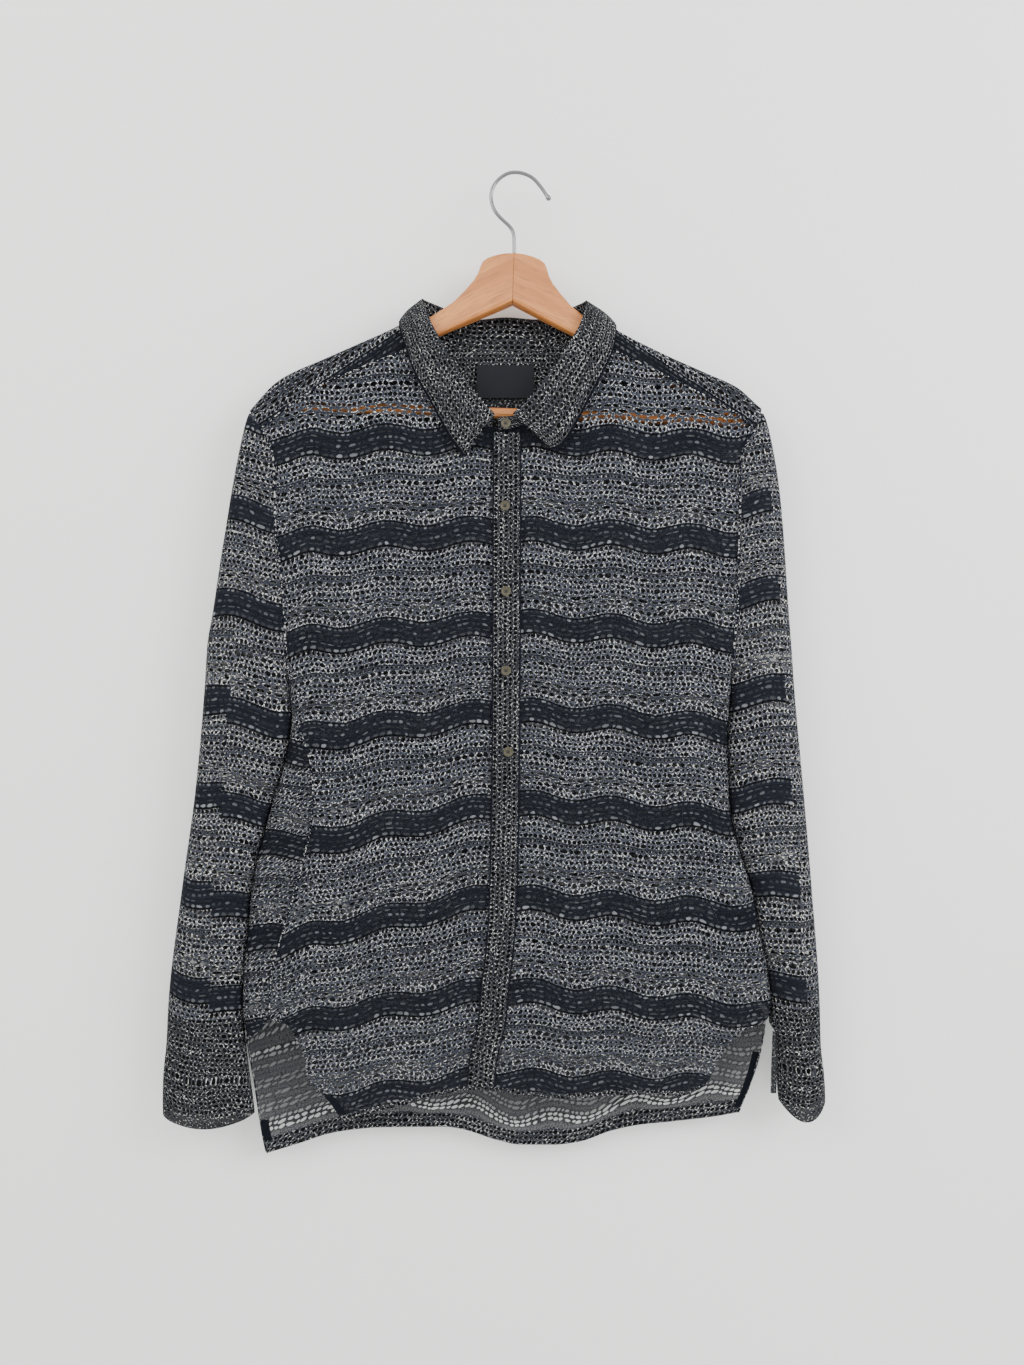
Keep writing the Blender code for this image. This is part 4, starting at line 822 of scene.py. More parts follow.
def tube(name, points, radii, material, sides=12, replaced=()):
    # a round cord through points; radii is one number or one for each point
    points = [Vector(point) for point in points]
    if not hasattr(radii, "__len__"):
        radii = [radii] * len(points)
    mesh = bmesh.new()
    bmesh.ops.create_grid(mesh, x_segments=len(points) - 1, y_segments=sides, size=0.5)
    depthWay = Vector((0, -1, 0))
    frames = []
    for i, point in enumerate(points):
        run = points[min(i + 1, len(points) - 1)] - points[max(i - 1, 0)]
        run.normalize()
        sideWay = run.cross(depthWay)
        sideWay.normalize()
        frames.append((point, sideWay, sideWay.cross(run)))
    for corner in mesh.verts:
        i = round((corner.co.x + 0.5) * (len(points) - 1))
        angle = 2 * math.pi * (corner.co.y + 0.5)
        point, sideWay, upWay = frames[i]
        around = sideWay * math.cos(angle) + upWay * math.sin(angle)
        corner.co = (point + around * radii[i]) * mm
    bmesh.ops.remove_doubles(mesh, verts=mesh.verts[:], dist=0.000005)
    bmesh.ops.recalc_face_normals(mesh, faces=mesh.faces[:])
    addPiece(name, mesh, material, replaced)


def footOf(foot, locate):
    # the height at which a column of the grid meets the hem's curve
    low = -880.0
    for _ in range(16):
        low = 0.5 * low + 0.5 * foot(locate(low))
    return low


# each piece as it is cut, flat: width, length and area, worked out from the readings above;
# a width is 10 mm at least, and the area is the true one
cuts = {
    "frontLeft": (0.240, 0.728, 0.138),
    "frontRight": (0.303, 0.711, 0.166),
    "backSheet": (0.536, 0.672, 0.305),
    "sleeveLeft": (0.204, 0.673, 0.107),
    "sleeveRight": (0.173, 0.673, 0.085),
    "yokeLeft": (0.179, 0.173, 0.0209),
    "yokeRight": (0.177, 0.168, 0.0197),
    "yokeBack": (0.160, 0.128, 0.0162),
    "collarLeaf": (0.584, 0.074, 0.0254),
    "underCollar": (0.584, 0.022, 0.0090),
    "collarStand": (0.488, 0.039, 0.0118),
    "buttonBand": (0.0252, 0.615, 0.0155),
    "cuffFlapRight": (0.010, 0.0585, 0.00034),
    "tapeTailLeft": (0.010, 0.0195, 0.000176),
    "tapeTailRight": (0.010, 0.0535, 0.000397),
    "tapeFrontLeft": (0.010, 0.0176, 0.000141),
}


def cutSheet(piece):
    width, length, area = cuts[piece.name]
    measured = sum(face.area for face in piece.data.polygons)
    print(f"{piece.name}: cut {area} m2, mesh {measured:.5f} m2")


panels = {
    "armTop": -244.6,  # where the shoulder seam meets the armhole
    "centreTop": -244.0,
    "level": -300.0,  # above this a front's columns spread to the neck
    "frontGap": 0.3,
    "seamGap": 0.2,
    "frontColumns": {"left": 100, "right": 116},
    "rows": 150,
    "frontHem": 0.0099,  # share of the height that is plain
    "backTop": -262.2,
    "tail": 0.176,  # share of the back's height that is see-through
    "tailWave": (4.5, 75.0, -37.0),  # height, length and a crest's x of the tail's rows
}


def frontPanel(side):
    level = panels["level"]
    gap = inward[side] * panels["frontGap"]
    before = 0.0 if side == "left" else 1.0

    def ringLength(z, u):
        inner = ringAt(z, centreFront(z) - gap)
        outer = before * halfRing(z) + slitEdge[side + "Front"](z) - panels["seamGap"]
        return inner + (outer - inner) * u

    columns = panels["frontColumns"][side]
    shares = np.linspace(0, 1, columns // 2 + 1)
    topX = centreFront(panels["centreTop"])
    topXs = [topX + (bodyEdge[side](panels["armTop"]) + gap - topX) * u for u in shares]
    highs = [frontTop[side](x) for x in topXs]
    highs[-1] = panels["armTop"]
    lows = [
        footOf(frontHem[side], lambda z, u=u: ringPoint(z, ringLength(z, u))[0]) for u in shares
    ]

    def place(u, v):
        high = float(np.interp(u, shares, highs))
        low = float(np.interp(u, shares, lows))
        z = low + (high - low) * v
        if z <= level:
            return ringPoint(z, ringLength(z, u))
        # the way round is counted from this side's own fold
        start = ringAt(high, float(np.interp(u, shares, topXs)))
        end = ringLength(level, u)
        t = (high - z) / (high - level)
        if side == "left":
            return ringPoint(z, start + (end - start) * t)
        start, end = halfRing(high) - start, halfRing(level) - end
        return ringPoint(z, halfRing(z) - start - (end - start) * t)

    def pattern(u, v, where):
        x, z = where[0], where[2]
        return (ringAt(z, x) - ringAt(z, centreFront(z)), patternDown(side, x, z))

    piece = clothSheet(
        "front" + side.capitalize(), columns, panels["rows"], place, pattern, frontNet,
        replaced=("front_" + side,), edging=(panels["frontHem"], plainNet),
    )
    cutSheet(piece)


def backPanel():
    foot = softCurve(backHem)

    def ringLength(z, u):
        start = backEdge("right", z) + panels["seamGap"]
        return start + (backEdge("left", z) - panels["seamGap"] - start) * u

    shares = np.linspace(0, 1, 101)
    lows = [footOf(foot, lambda z, u=u: ringPoint(z, ringLength(z, u))[0]) for u in shares]

    def place(u, v):
        low = float(np.interp(u, shares, lows))
        z = low + (panels["backTop"] - low) * v
        return ringPoint(z, ringLength(z, u))

    def pattern(u, v, where):
        return (-ringLength(where[2], u), patternDown("back", where[0], where[2]))

    def tailPattern(u, v, where):
        # the rows above the hem swing, less so towards the left
        high = where[2] - float(np.interp(u, shares, lows))
        swing, length, crest = panels["tailWave"]
        wave = swing * math.cos((where[0] - crest) / length * 2 * math.pi)
        wave *= blend(12, 22, high) * blend(-175, -115, where[0])
        return (-ringLength(where[2], u), high - wave)

    piece = clothSheet(
        "backSheet", 150, panels["rows"], place, pattern, backNet, replaced=("back",),
        edging=(panels["tail"], tailNet), edgePattern=tailPattern,
    )
    cutSheet(piece)


frontPanel("left")
frontPanel("right")
backPanel()
print("body panels made")


def sleeveInner(side, z):
    # the sleeve's inner fold: just clear of the body, and its own edge below the cuff's top
    away = 0.3 + 0.4 * (1 - armOpen(z)) + 0.5 * blend(-780.0, -800.0, z)
    clear = bodyEdge[side](z) - inward[side] * away
    if z >= -800.0:
        return clear
    own = clear + (cuffEdge[side](z) - clear) * blend(-800.0, -818.0, z)
    return min(own, clear) if side == "left" else max(own, clear)


def sleeveY(side, face, x, z):
    inner = sleeveInner(side, z)
    outer = sleeveEdge[side](z)
    share = min(max((x - inner) / (outer - inner), 0.0), 1.0)
    opening = armOpen(z)
    innerFold = opening + (1 - opening) * rounding(abs(x - inner), shape["roll"])
    radius = 10.0 + 3.0 * blend(-260.0, -400.0, z)
    outerFold = rounding(toOutline(side, x, z), radius)
    belly = (4 * share * (1 - share)) ** 2
    depth = halfDepth[face](z) + swell(z) * belly
    for outerZ, innerZ, halfWidth, rise in sleeveFolds:
        middle = innerZ + (outerZ - innerZ) * share
        depth += rise * math.exp(-(((z - middle) / halfWidth) ** 2)) * belly
    return face * depth * innerFold * outerFold


sleeves = {
    "top": -229.0,
    "columns": 84,
    "rows": 134,
    "cuff": 0.142,  # share of the height that is plain
    "left": {
        "foot": -891.5, "sag": 10.0,
        "seam": [(-900.0, -286.0), (-700.0, -282.0), (-600.0, -273.0), (-440.0, -262.0)],
        "steps": (-842.0, -430.0),
    },
    "right": {
        "foot": -879.0, "sag": 16.0,
        "seam": [
            (-900.0, 281.0), (-700.0, 270.0), (-600.0, 262.0), (-440.0, 252.0), (-300.0, 241.0),
            (-235.0, 230.0),
        ],
        "steps": (-842.0, -262.0),
    },
}


def sleevePoint(side, z, turn):
    inner = sleeveInner(side, z)
    outer = sleeveEdge[side](z)
    if z <= shape["armpit"]:
        turn = (turn + 1) % 2 - 1
    width = abs(inner - outer)
    radius = min(shape["roll"], width / 2)
    quarter = radius * math.pi / 2
    length = width - 2 * radius + 2 * quarter
    way = abs(turn) * length
    if way > length / 2:
        run = 1 - planRun(length - way, radius) / width
    else:
        run = planRun(way, radius) / width
    x = outer + (inner - outer) * min(max(run, 0.0), 1.0)
    foot = sleeves[side]["foot"]
    drop = sleeves[side]["sag"] * blend(foot + 120, foot, z) * 4 * run * (1 - run)
    y = 0.0 if turn == 0 else sleeveY(side, -1 if turn < 0 else 1, x, z)
    inset = shape["inset"]
    outerShare = 1 - min(max(run, 0.0), 1.0)
    innerShare = 1 - outerShare
    x += inward[side] * (inset * outerShare**4 + 0.9 * innerShare**4)
    y -= math.copysign(min(inset, abs(y)), y) if y else 0.0
    return np.array([x, y, z - drop])


def sleeve(side):
    cut = sleeves[side]
    foot, top = cut["foot"], sleeves["top"]
    name = "sleeve" + side.capitalize()
    seam = softCurve(cut["seam"])
    lowest, highest = cut["steps"]

    def place(u, v):
        return sleevePoint(side, foot + (top - foot) * v, 2 * u - 1)

    def pattern(u, v, where):
        z = foot + (top - foot) * v
        width = abs(sleeveInner(side, z) - sleeveEdge[side](z))
        return ((2 * u - 1) * (width + 14.0), patternDown(name, where[0], where[2]))

    def step(middle, down):
        # the under seam rolls to the front: past it the bands lie higher on the left, and
        # the right has melange alone
        within = inward[side] * (middle.x - seam(middle.z)) >= 0
        if middle.y > 0 or not lowest < middle.z < highest or within:
            return (0.0, 0.0)
        if side == "left":
            return (3.0, 9.0)
        inBand = (down / bands["repeat"] + net["bandHalf"]) % 1 < 0.30
        return (2.0, 31.0 if inBand else 0.0)

    piece = clothSheet(
        name, sleeves["columns"], sleeves["rows"], place, pattern, sleeveNet,
        replaced=("sleeve_" + side,), wrap=True, edging=(sleeves["cuff"], plainNet),
        stepPattern=step,
    )
    cutSheet(piece)


sleeve("left")
sleeve("right")
print("sleeves made")

neckBack = [  # x, z of the back's neck edge
    (-88.0, -134.0), (-87.7, -136.6), (-87.2, -139.2), (-86.2, -142.2), (-83.0, -148.0),
    (-72.0, -156.5), (-56.0, -162.0), (-40.0, -164.6), (-8.0, -166.5), (24.0, -164.8),
    (40.0, -162.4), (56.0, -157.0), (67.0, -148.5), (70.2, -142.6), (71.2, -139.6),
    (71.7, -137.0), (72.0, -134.5),
]


def insetOnBody(face, x, z):
    y = bodyY(face, x, z)
    return np.array([x, y - face * min(shape["inset"], abs(y)), z])


yokeCut = {
    "fold": 0.6,  # share of a shoulder's rows behind the fold
    "frontEnd": -244.4,
    "endTop": {"left": -225.3, "right": -223.5},  # the fold's height at the armhole
    "bandTop": -200.0,  # above this the back's rows go on at their own height
    "line": {"left": (-155.0, -183.0, 0.67), "right": (157.0, -192.0, -0.66)},  # x, z, slope
}


def yokeShoulder(side):
    # one shoulder: over the fold from the back seam to the forward seam
    top, armhole, seam = ridge[side], bodyEdge[side], frontTop[side]
    neckX, fold, endTop = neckEnd[side], yokeCut["fold"], yokeCut["endTop"][side]

    def place(u, v):
        front = v > fold
        drop = ((v - fold) / (1 - fold) if front else (fold - v) / fold) ** 1.7
        footEnd = yokeCut["frontEnd"] if front else shape["yokeSeam"]
        row = endTop + (footEnd - endTop) * drop
        endX = armhole(row) + inward[side] * 0.15
        x = neckX + (endX - neckX) * u
        footZ = seam(x) + 0.1 if front else footEnd
        z = top(x) + (footZ - top(x)) * drop
        endZ = top(endX) + ((seam(endX) + 0.1 if front else footEnd) - top(endX)) * drop
        z += (row - endZ) * u**6
        if drop < 0.0005:
            return np.array([x, 0.0, top(x) - shape["inset"]])
        point = insetOnBody(-1 if front else 1, x, z)
        point[2] -= shape["inset"] * (1 - min(abs(point[1]) / 9.0, 1.0))
        return point

    return place


def shoulderPattern(side):
    lineX, lineZ, slope = yokeCut["line"][side]

    def pattern(u, v, where):
        x, z = where[0], where[2]
        if v <= yokeCut["fold"]:
            high = yokeCut["bandTop"]
            return (x * 1.12, patternDown("back", x, min(z, high)) - max(z - high, 0.0))
        # only the end beside the collar is dark
        return (x * 1.12, lineZ + (x - lineX) * slope - z - 12.0)

    return pattern


def yoke():
    for side in inward:
        piece = clothSheet(
            "yoke" + side.capitalize(), 40, 30, yokeShoulder(side), shoulderPattern(side),
            yokeNet, replaced=("yoke",) if side == "left" else (),
        )
        cutSheet(piece)
    rail = softCurve(neckBack)
    left, right = neckEnd["left"], neckEnd["right"]

    def place(u, v):
        x = left + (right - left) * u
        return insetOnBody(1, x, shape["yokeSeam"] + (rail(x) - shape["yokeSeam"]) * v)

    def pattern(u, v, where):
        return (where[0] * 1.05, where[2])

    cutSheet(clothSheet("yokeBack", 36, 24, place, pattern, plainNet))


yoke()
print("yoke made")


collarCut = {
    "flare": 3.2,  # how much more the collar's normals lean to the front than its plan
    "belly": 2.6,  # how far the leaf bows out between its roll and its edge
    "lift": ([0.12, 0.52, 0.78, 1.0], [5.8, 5.8, 5.0, 4.0]),  # drop, and room under the leaf
    "settle": (0.03, 0.15),  # the drops between which the leaf comes clear of the shoulders
    "hem": 3.2,  # mm that one step of drop past the edge goes on
    "under": (1.95, 1.2),  # the under collar's outer drop, and its height in drops
    "leafInset": 0.5,
    "underInset": 2.0,
    "stand": 0.96,  # share of the stand up to its button tab
}


def outwardOf(roll):
    outward = np.array([roll[0] - shape["centre"], roll[1] * collarCut["flare"], 0.0])
    return outward / np.linalg.norm(outward)


def pushClear(point, lift):
    # the leaf keeps clear of the shoulders by lift
    x, y, z = point
    side = sideOf(x)
    depth = halfDepth[-1 if y < 0 else 1](z)
    if inward[side] * (x - neckEnd[side]) > 0:
        least = (depth + lift) * blend(-126.0, -141.0, z)
        if 4 < abs(y) < least:
            y = math.copysign(least, y)
        return np.array([x, y, z])
    core = ridge[side](x) - shape["ridgeRoll"]
    up = max(z - core, 0.0) / shape["ridgeRoll"]
    reach = math.hypot(y / depth, up)
    least = 1 + lift / (shape["ridgeRoll"] - 0.5)
    if reach < least:
        y *= least / max(reach, 0.2)
        if up > 0:
            z = core + (z - core) * least / reach
    return np.array([x, y, z])


def leafPoint(t, drop, inside=0.0):
    # t runs round the neck; drop is 0 on the roll line and 1 on the leaf's edge
    row = along(collarRows, t)
    roll, edge = row[:3], row[3:6]
    outward = outwardOf(roll)
    reach = np.linalg.norm(edge - roll)
    over = drop if drop <= 1 else 1 + (drop - 1) * collarCut["hem"] / reach
    lift = float(np.interp(min(drop, 1), *collarCut["lift"]))
    bow = collarCut["belly"] * math.sin(math.pi * min(drop, 1))
    point = roll + (edge - roll) * over + outward * bow
    start, end = collarCut["settle"]
    if drop > start:
        pushed = pushClear(point, lift)
        point = point + (pushed - point) * blend(start, end, drop)
    return point - outward * inside


def collar():
    outer, height = collarCut["under"]

    def place(u, v):
        return leafPoint(u, 1 - v, collarCut["leafInset"])

    def placeUnder(u, v):
        return leafPoint(u, outer - height * v, collarCut["underInset"])

    def pattern(u, v, where):
        return (u * 560.0, v * 46.0)

    leaf = clothSheet(
        "collarLeaf", 150, 14, place, pattern, plainNet, replaced=("collar_leaf",)
    )
    cutSheet(leaf)
    under = clothSheet(
        "underCollar", 150, 6, placeUnder, pattern, blackTulle,
        replaced=("undercollar",),
    )
    cutSheet(under)


collar()


def neckEdge(x, drop):
    # a point of the body's neck edge, drop below the shoulder's fold, and the way out of it
    top = ridge[sideOf(x)](x)
    face = -1 if drop < 0 else 1
    z = top - abs(drop)
    far = top - max(abs(drop), 1.5)
    slopeX = (bodyY(face, x + 0.3, far) - bodyY(face, x - 0.3, far)) / 0.6
    slopeZ = (bodyY(face, x, far + 0.3) - bodyY(face, x, far - 0.3)) / 0.6
    out = np.array([-face * slopeX, face, -face * slopeZ])
    out /= np.linalg.norm(out)
    out[1] *= min(abs(drop) / 1.5, 1.0)
    return np.array([x, bodyY(face, x, z), z]), out / np.linalg.norm(out)


def collarStand():
    tabAt = collarCut["stand"]

    def place(u, v):
        t = min(u / tabAt, 1.0)
        row = along(collarRows, t)
        base, out = neckEdge(row[6], row[7])
        base = base + out * (1.8 + 1.2 * math.exp(-((row[7] / 5) ** 2)))
        top = leafPoint(t, 0.04, 2.0)
        point = base + (top - base) * v
        if u > tabAt:
            far = (u - tabAt) / (1 - tabAt)
            tab = np.array([-14.2, -14.6 - 1.4 * v, -246.8 + 12.4 * v])
            point = point + (tab - point) * far
        return point

    def pattern(u, v, where):
        return (u * 480.0, v * 30.0)

    stand = clothSheet("collarStand", 150, 8, place, pattern, plainNet, replaced=("collar_stand",))
    cutSheet(stand)


collarStand()

band = {"foot": -863.0, "top": -247.9, "halfWidth": 12.6, "lift": 1.2, "rows": 150}


def placket():
    def place(u, v):
        z = band["foot"] + (band["top"] - band["foot"]) * v
        lean = (centreFront(z - 5) - centreFront(z + 5)) / 10
        across = (u * 2 - 1) * band["halfWidth"]
        x = centreFront(z) + across
        low = z + across * lean
        return np.array([x, bodyY(-1, x, low) - band["lift"], low])

    def pattern(u, v, where):
        return (where[2], u * 24.0)

    piece = clothSheet(
        "buttonBand", 8, band["rows"], place, pattern, plainNet, replaced=("placket",)
    )
    cutSheet(piece)


placket()
print("collar and placket made")


def faceOf(x, z, lift):
    # a point of the front at x, z, lifted off the cloth
    return (x, bodyY(-1, x, z) - lift, z)


seamCords = {
    "shoulder": {"left": (-236, -98), "right": (91, 227)},  # x at both ends
    "armhole": (-246, -470),  # z at both ends
    "side": (-520, -804),
    "band": (-250, -861),
    "bandOffset": 12.7,
    "radius": {"shoulder": 0.9, "arm": 1.0, "side": 0.8, "band": 0.7, "tail": 0.8},
}


def seams():
    radius = seamCords["radius"]
    for side, span in seamCords["shoulder"].items():
        path = [faceOf(x, frontTop[side](x), 0.2) for x in np.linspace(*span, 60)]
        tube("seamShoulder" + side.capitalize(), path, radius["shoulder"], seamYarn, 8)
    for side, way in inward.items():
        path = []
        for z in np.linspace(*seamCords["armhole"], 90):
            path.append(faceOf(bodyEdge[side](z) + way * 0.6, z, 0.1))
        tube("seamArm" + side.capitalize(), path, radius["arm"], seamYarn, 8)
    path = []
    for z in np.linspace(*seamCords["side"], 110):
        point = ringPoint(z, slitEdge["leftFront"](z), 0.0)
        path.append((point[0], point[1] - 0.15, point[2]))
    tube("seamSideLeft", path, radius["side"], seamYarn, 8)
    for side, way in inward.items():
        path = []
        for z in np.linspace(*seamCords["band"], 150):
            path.append(faceOf(centreFront(z) - way * seamCords["bandOffset"], z, 1.0))
        tube("placketEdge" + side.capitalize(), path, radius["band"], edgeYarn, 8)


seams()

tailTapes = {  # z at the foot and the top
    "tapeTailLeft": (-921.5, -902.0),
    "tapeTailRight": (-889.5, -836.0),
    "tapeFrontLeft": (-889.0, -872.0),
}


def tailEdges():
    for side, foot in (("left", -932.5), ("right", -893.0)):
        path = []
        for z in np.linspace(foot, -814, 60):
            path.append(ringPoint(z, backEdge(side, z) - inward[side] * 0.8, 0.6))
        name = "tailEdge" + side.capitalize()
        tube(name, path, seamCords["radius"]["tail"], seamYarn, 8)

    def onTail(side, start, wide):
        def spot(u, z):
            x = bodyEdge[side](z) + start + wide * u
            return np.array([x, bodyY(1, x, z) - 1.6, z])

        return spot

    def onFront(u, z):
        return ringPoint(z, slitEdge["leftFront"](z) + 0.4 + 8.0 * u, 0.1)

    def pattern(u, v, where):
        return (where[0], where[2])

    # short black tapes on the corners of the slits
    spots = (onTail("left", 0.6, 7.4), onTail("right", -0.6, -5.5), onFront)
    for (name, (low, high)), spot in zip(tailTapes.items(), spots):
        def place(u, v, spot=spot, low=low, high=high):
            return spot(u, low + (high - low) * v)

        cutSheet(clothSheet(name, 6, 16, place, pattern, blackTulle))


tailEdges()
print("seams made")


buttons = {
    "radius": 4.7,
    "thick": 2.2,
    "standBack": -16.6,  # y behind the first button, on the stand
    "lift": 2.5,
    "holes": 1.0,  # from the middle to a hole, across and up
    "thread": 0.42,
    "places": ((-7.2, -240.6), (-8.0, -317.6), (-7.0, -397.6), (-7.0, -471.9), (-4.9, -547.7)),
    "profile": [  # share of the radius, share of the thickness: a dish with a round rim
        (0.0, 0.78), (0.5, 0.78), (0.64, 0.80), (0.72, 0.90), (0.82, 1.0), (0.92, 0.99),
        (0.985, 0.86), (1.0, 0.62), (0.985, 0.36), (0.9, 0.12), (0.78, 0.0), (0.0, 0.0),
    ],
}


def button(number, x, z):
    profile, thick, hole = buttons["profile"], buttons["thick"], buttons["holes"]
    back = buttons["standBack"] if number == 1 else bodyY(-1, x, z) - buttons["lift"]
    mesh = bmesh.new()
    bmesh.ops.create_grid(mesh, x_segments=len(profile) - 1, y_segments=32, size=0.5)
    for corner in mesh.verts:
        share, height = profile[round((corner.co.x + 0.5) * (len(profile) - 1))]
        angle = 2 * math.pi * (corner.co.y + 0.5)
        reach = buttons["radius"] * share
        corner.co = Vector((
            x + reach * math.cos(angle), back - thick * height, z + reach * math.sin(angle)
        )) * mm
    bmesh.ops.remove_doubles(mesh, verts=mesh.verts[:], dist=0.00001)
    bmesh.ops.recalc_face_normals(mesh, faces=mesh.faces[:])
    addPiece(f"buttonDisc{number}", mesh, horn, (f"button_{number}",))
    front = back - thick * profile[0][1] - 0.04
    # two stitches cross over the dish
    for index, way in enumerate((-1, 1), 1):
        start = Vector((x + way * hole, front, z + hole))
        end = Vector((x - way * hole, front, z - hole))
        path = []
        for t in np.linspace(0, 1, 9):
            spot = start.lerp(end, t)
            spot.y -= (0.35 + 0.12 * index) * math.sin(math.pi * t) ** 0.6
            path.append(spot)
        tube(f"buttonThread{number}.{index}", path, buttons["thread"], thread, 6)


for number, (x, z) in enumerate(buttons["places"], 1):
    button(number, x, z)

hookRows = [  # x, z, wire radius, from the ball over the top and down to the wood
    (34.6, -24.6, 0.9), (34.2, -23.9, 2.1), (33.2, -22.6, 2.5), (32.0, -21.0, 2.1),
    (30.8, -19.2, 1.75), (25.6, -11.6, 1.75), (18.6, -3.9, 1.75), (10.8, 0.2, 1.75),
    (3.0, 1.75, 1.75), (-4.6, 0.9, 1.75), (-11.2, -2.6, 1.75), (-16.4, -7.6, 1.75),
    (-19.8, -13.6, 1.75), (-21.3, -20.0, 1.75), (-20.7, -27.0, 1.75), (-18.4, -33.4, 1.75),
    (-14.4, -39.2, 1.75), (-9.6, -44.0, 1.75), (-4.4, -48.9, 1.75), (-1.0, -53.6, 1.75),
    (0.4, -59.6, 1.75), (0.7, -67.0, 1.75), (0.7, -76.6, 1.75),
]


def hook():
    # each end closes to a point, just past the last row
    points, radii = [], []
    for t in np.linspace(0, 1, 220):
        x, z, radius = along(hookRows, t)
        points.append((x, 0.0, z))
        radii.append(float(radius))
    points = [points[0], *points, points[-1]]
    radii = [0.0, *radii, 0.0]
    points[0] = (points[0][0] + 0.02, 0.0, points[0][2] - 0.02)
    points[-1] = (points[-1][0], 0.0, points[-1][2] - 0.02)
    tube("hookWire", points, radii, wire, 24, replaced=("hanger_hook",))


hook()


def dress(node, material):
    # a CAD node whose shape is right keeps its mesh
    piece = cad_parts[node]
    for slot in piece.material_slots:
        slot.link = "OBJECT"
        slot.material = material


for node, turn in wood["turns"].items():
    dress(node, woodMaterial("Beech " + node.split("_")[-1], turn))
dress("neck_label", satin)

crown = {"x": 0.7, "top": -77.0, "lean": 2.1, "width": 0.5, "depth": 16.8, "height": 44.6}


def crownJoint():
    # the dark line where the hanger's halves meet; it leans with the hanger
    lean = math.radians(crown["lean"])
    mesh = bmesh.new()
    bmesh.ops.create_cube(mesh, size=1.0)
    for corner in mesh.verts:
        x, y = corner.co.x * crown["width"], corner.co.y * crown["depth"]
        z = -0.4 - (corner.co.z + 0.5) * crown["height"]
        x = crown["x"] + x * math.cos(lean) + z * math.sin(lean)
        corner.co = Vector((x, y, crown["top"] + z * math.cos(lean))) * mm
    bmesh.ops.recalc_face_normals(mesh, faces=mesh.faces[:])
    addPiece("crownJoint", mesh, jointGlue, smooth=False)


crownJoint()

flap = {  # rows: z, inner x, outer x
    "rows": [(-870.5, 242.6, 248.2), (-842.0, 243.4, 249.0), (-812.0, 244.4, 248.4)],
    "front": -6.7,
    "bulge": 1.2,
}


def cuffFlap():
    edges = bySide(flap["rows"])
    foot, top = flap["rows"][0][0], flap["rows"][-1][0]

    def place(u, v):
        z = foot + (top - foot) * v
        x = edges["left"](z) + (edges["right"](z) - edges["left"](z)) * u
        return np.array([x, flap["front"] - flap["bulge"] * math.sin(math.pi * u), z])

    def pattern(u, v, where):
        return (where[2], u * 8.0)

    piece = clothSheet(
        "cuffFlapRight", 6, 24, place, pattern, plainNet, replaced=("cuff_flap_right",)
    )
    cutSheet(piece)


cuffFlap()
print("small pieces made")


stage = {
    "eye": (-1.4, -1050.0, -483.0),
    "lens": 29.14,
    "aim": (0.0, 0.0, -0.5),
    "lamps": [  # place, size, power, colour
        ((-1.5, -1.3, 0.5), 1.4, 36.0, (1.0, 0.99, 0.97)),
        ((1.6, -1.2, 0.3), 1.2, 48.0, (0.985, 0.99, 1.0)),
        ((0.0, -1.7, 0.9), 1.6, 16.0, (1.0, 1.0, 1.0)),
    ],
    "sky": (0.93, 0.94, 0.95, 1.0),
    "skyPower": 0.85,
    "wall": 0.030,  # y of the wall
    "floor": -1.3,
}


def link(name, data):
    made = bpy.data.objects.new(name, data)
    bpy.context.scene.collection.objects.link(made)
    return made


def buildCamera():
    camera = bpy.data.cameras.new("Camera")
    camera.lens = stage["lens"]
    camera.sensor_width = 36.0
    holder = link("Camera", camera)
    holder.location = Vector(stage["eye"]) * mm
    holder.rotation_euler = (math.radians(90), 0, 0)
    bpy.context.scene.camera = holder


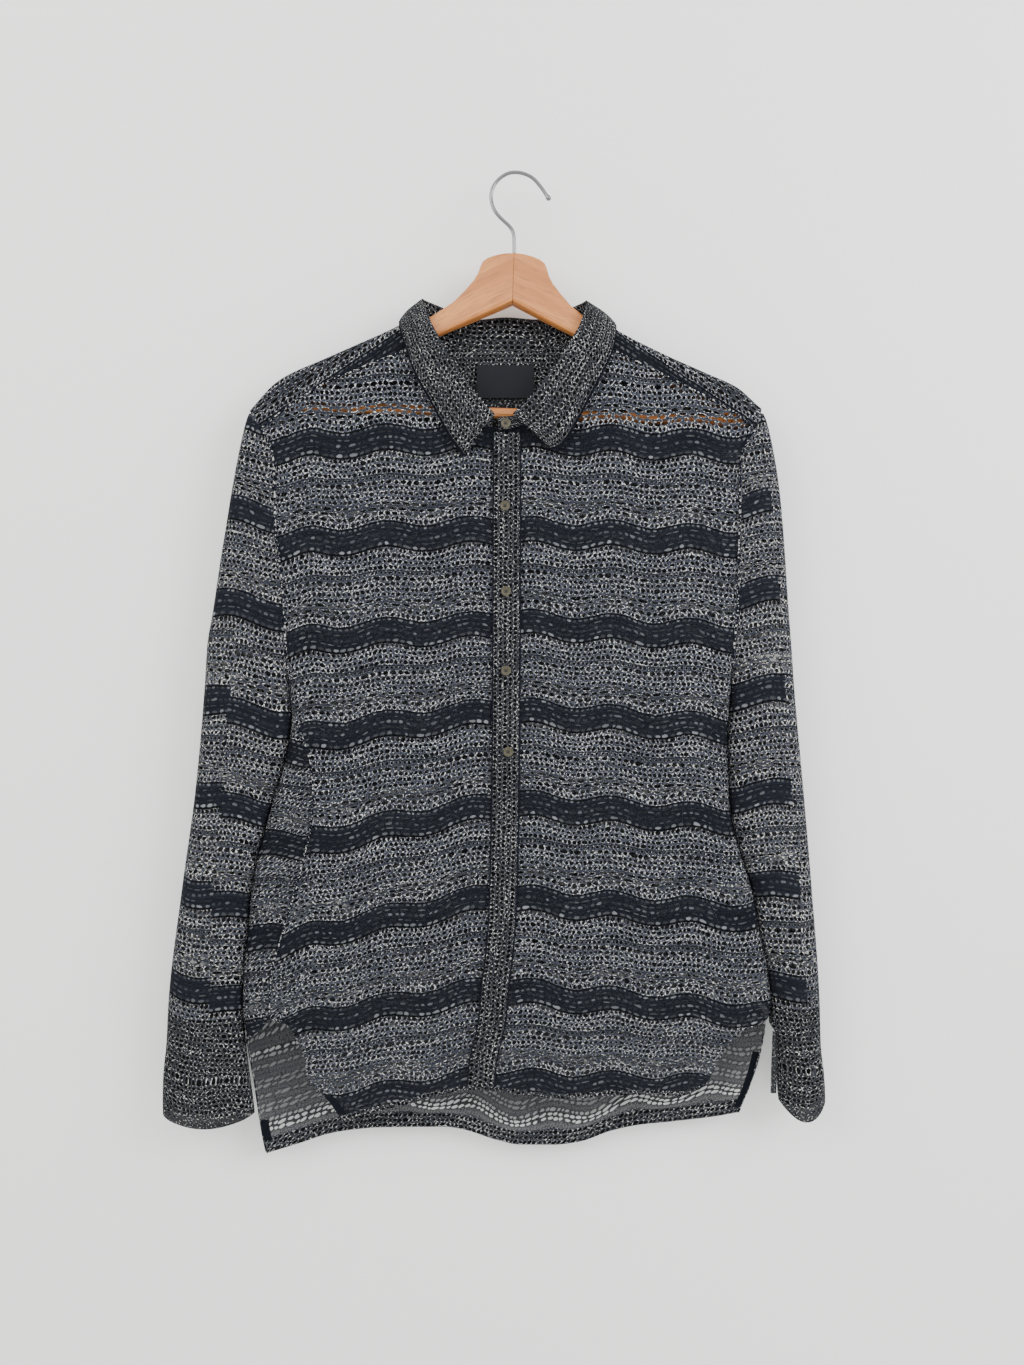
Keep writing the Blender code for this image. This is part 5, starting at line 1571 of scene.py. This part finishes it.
def buildLight():
    for number, (place, size, power, colour) in enumerate(stage["lamps"], 1):
        light = bpy.data.lights.new(f"Soft lamp {number}", "AREA")
        light.size, light.energy, light.color = size, power, colour
        lamp = link(f"Soft lamp {number}", light)
        lamp.location = place
        aim = Vector(stage["aim"]) - Vector(place)
        lamp.rotation_euler = aim.to_track_quat("-Z", "Y").to_euler()
    world = bpy.context.scene.world or bpy.data.worlds.new("World")
    bpy.context.scene.world = world
    world.use_nodes = True
    sky = world.node_tree.nodes["Background"]
    sky.inputs[0].default_value = stage["sky"]
    sky.inputs[1].default_value = stage["skyPower"]


def plane(name, size, spot, material):
    mesh = bmesh.new()
    bmesh.ops.create_grid(mesh, x_segments=1, y_segments=1, size=size)
    for point in mesh.verts:
        point.co = spot(point.co.x, point.co.y)
    for face in mesh.faces:
        face.normal_update()
        if face.normal.y > 0:
            face.normal_flip()
    data = bpy.data.meshes.new(name)
    mesh.to_mesh(data)
    mesh.free()
    data.materials.append(material)
    link(name, data)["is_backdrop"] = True


def plasterMaterial():
    # seen from behind, the wall is clear
    made, shader, place = newMaterial("Plaster")
    feed(shader, {
        "Base Color": (0.86, 0.86, 0.85), "Roughness": 0.9,
        "Emission Color": (1.0, 1.0, 0.99), "Emission Strength": 0.15,
    })
    behind = place.node("ShaderNodeNewGeometry", output="Backfacing")
    sockets = {
        0: behind, 1: Signal(place.tree, shader.outputs[0]),
        2: place.node("ShaderNodeBsdfTransparent"),
    }
    feed(made.node_tree.nodes["Material Output"], {
        "Surface": place.node("ShaderNodeMixShader", None, sockets),
    })
    return made


buildCamera()
buildLight()
plane(
    "Backdrop", 1.0, lambda x, y: Vector((x * 2.5, stage["wall"], y * 2.0 - 0.2)), plasterMaterial()
)
plane(
    "Floor", 3.0, lambda x, y: Vector((x, y, stage["floor"])),
    quietMaterial("Pale floor", (0.8, 0.8, 0.79), 0.5),
)
print("stage made")
boxes = {"cad": cadBox, "visual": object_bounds()}
{key: [[float(c) for c in corner] for corner in box] for key, box in boxes.items()}
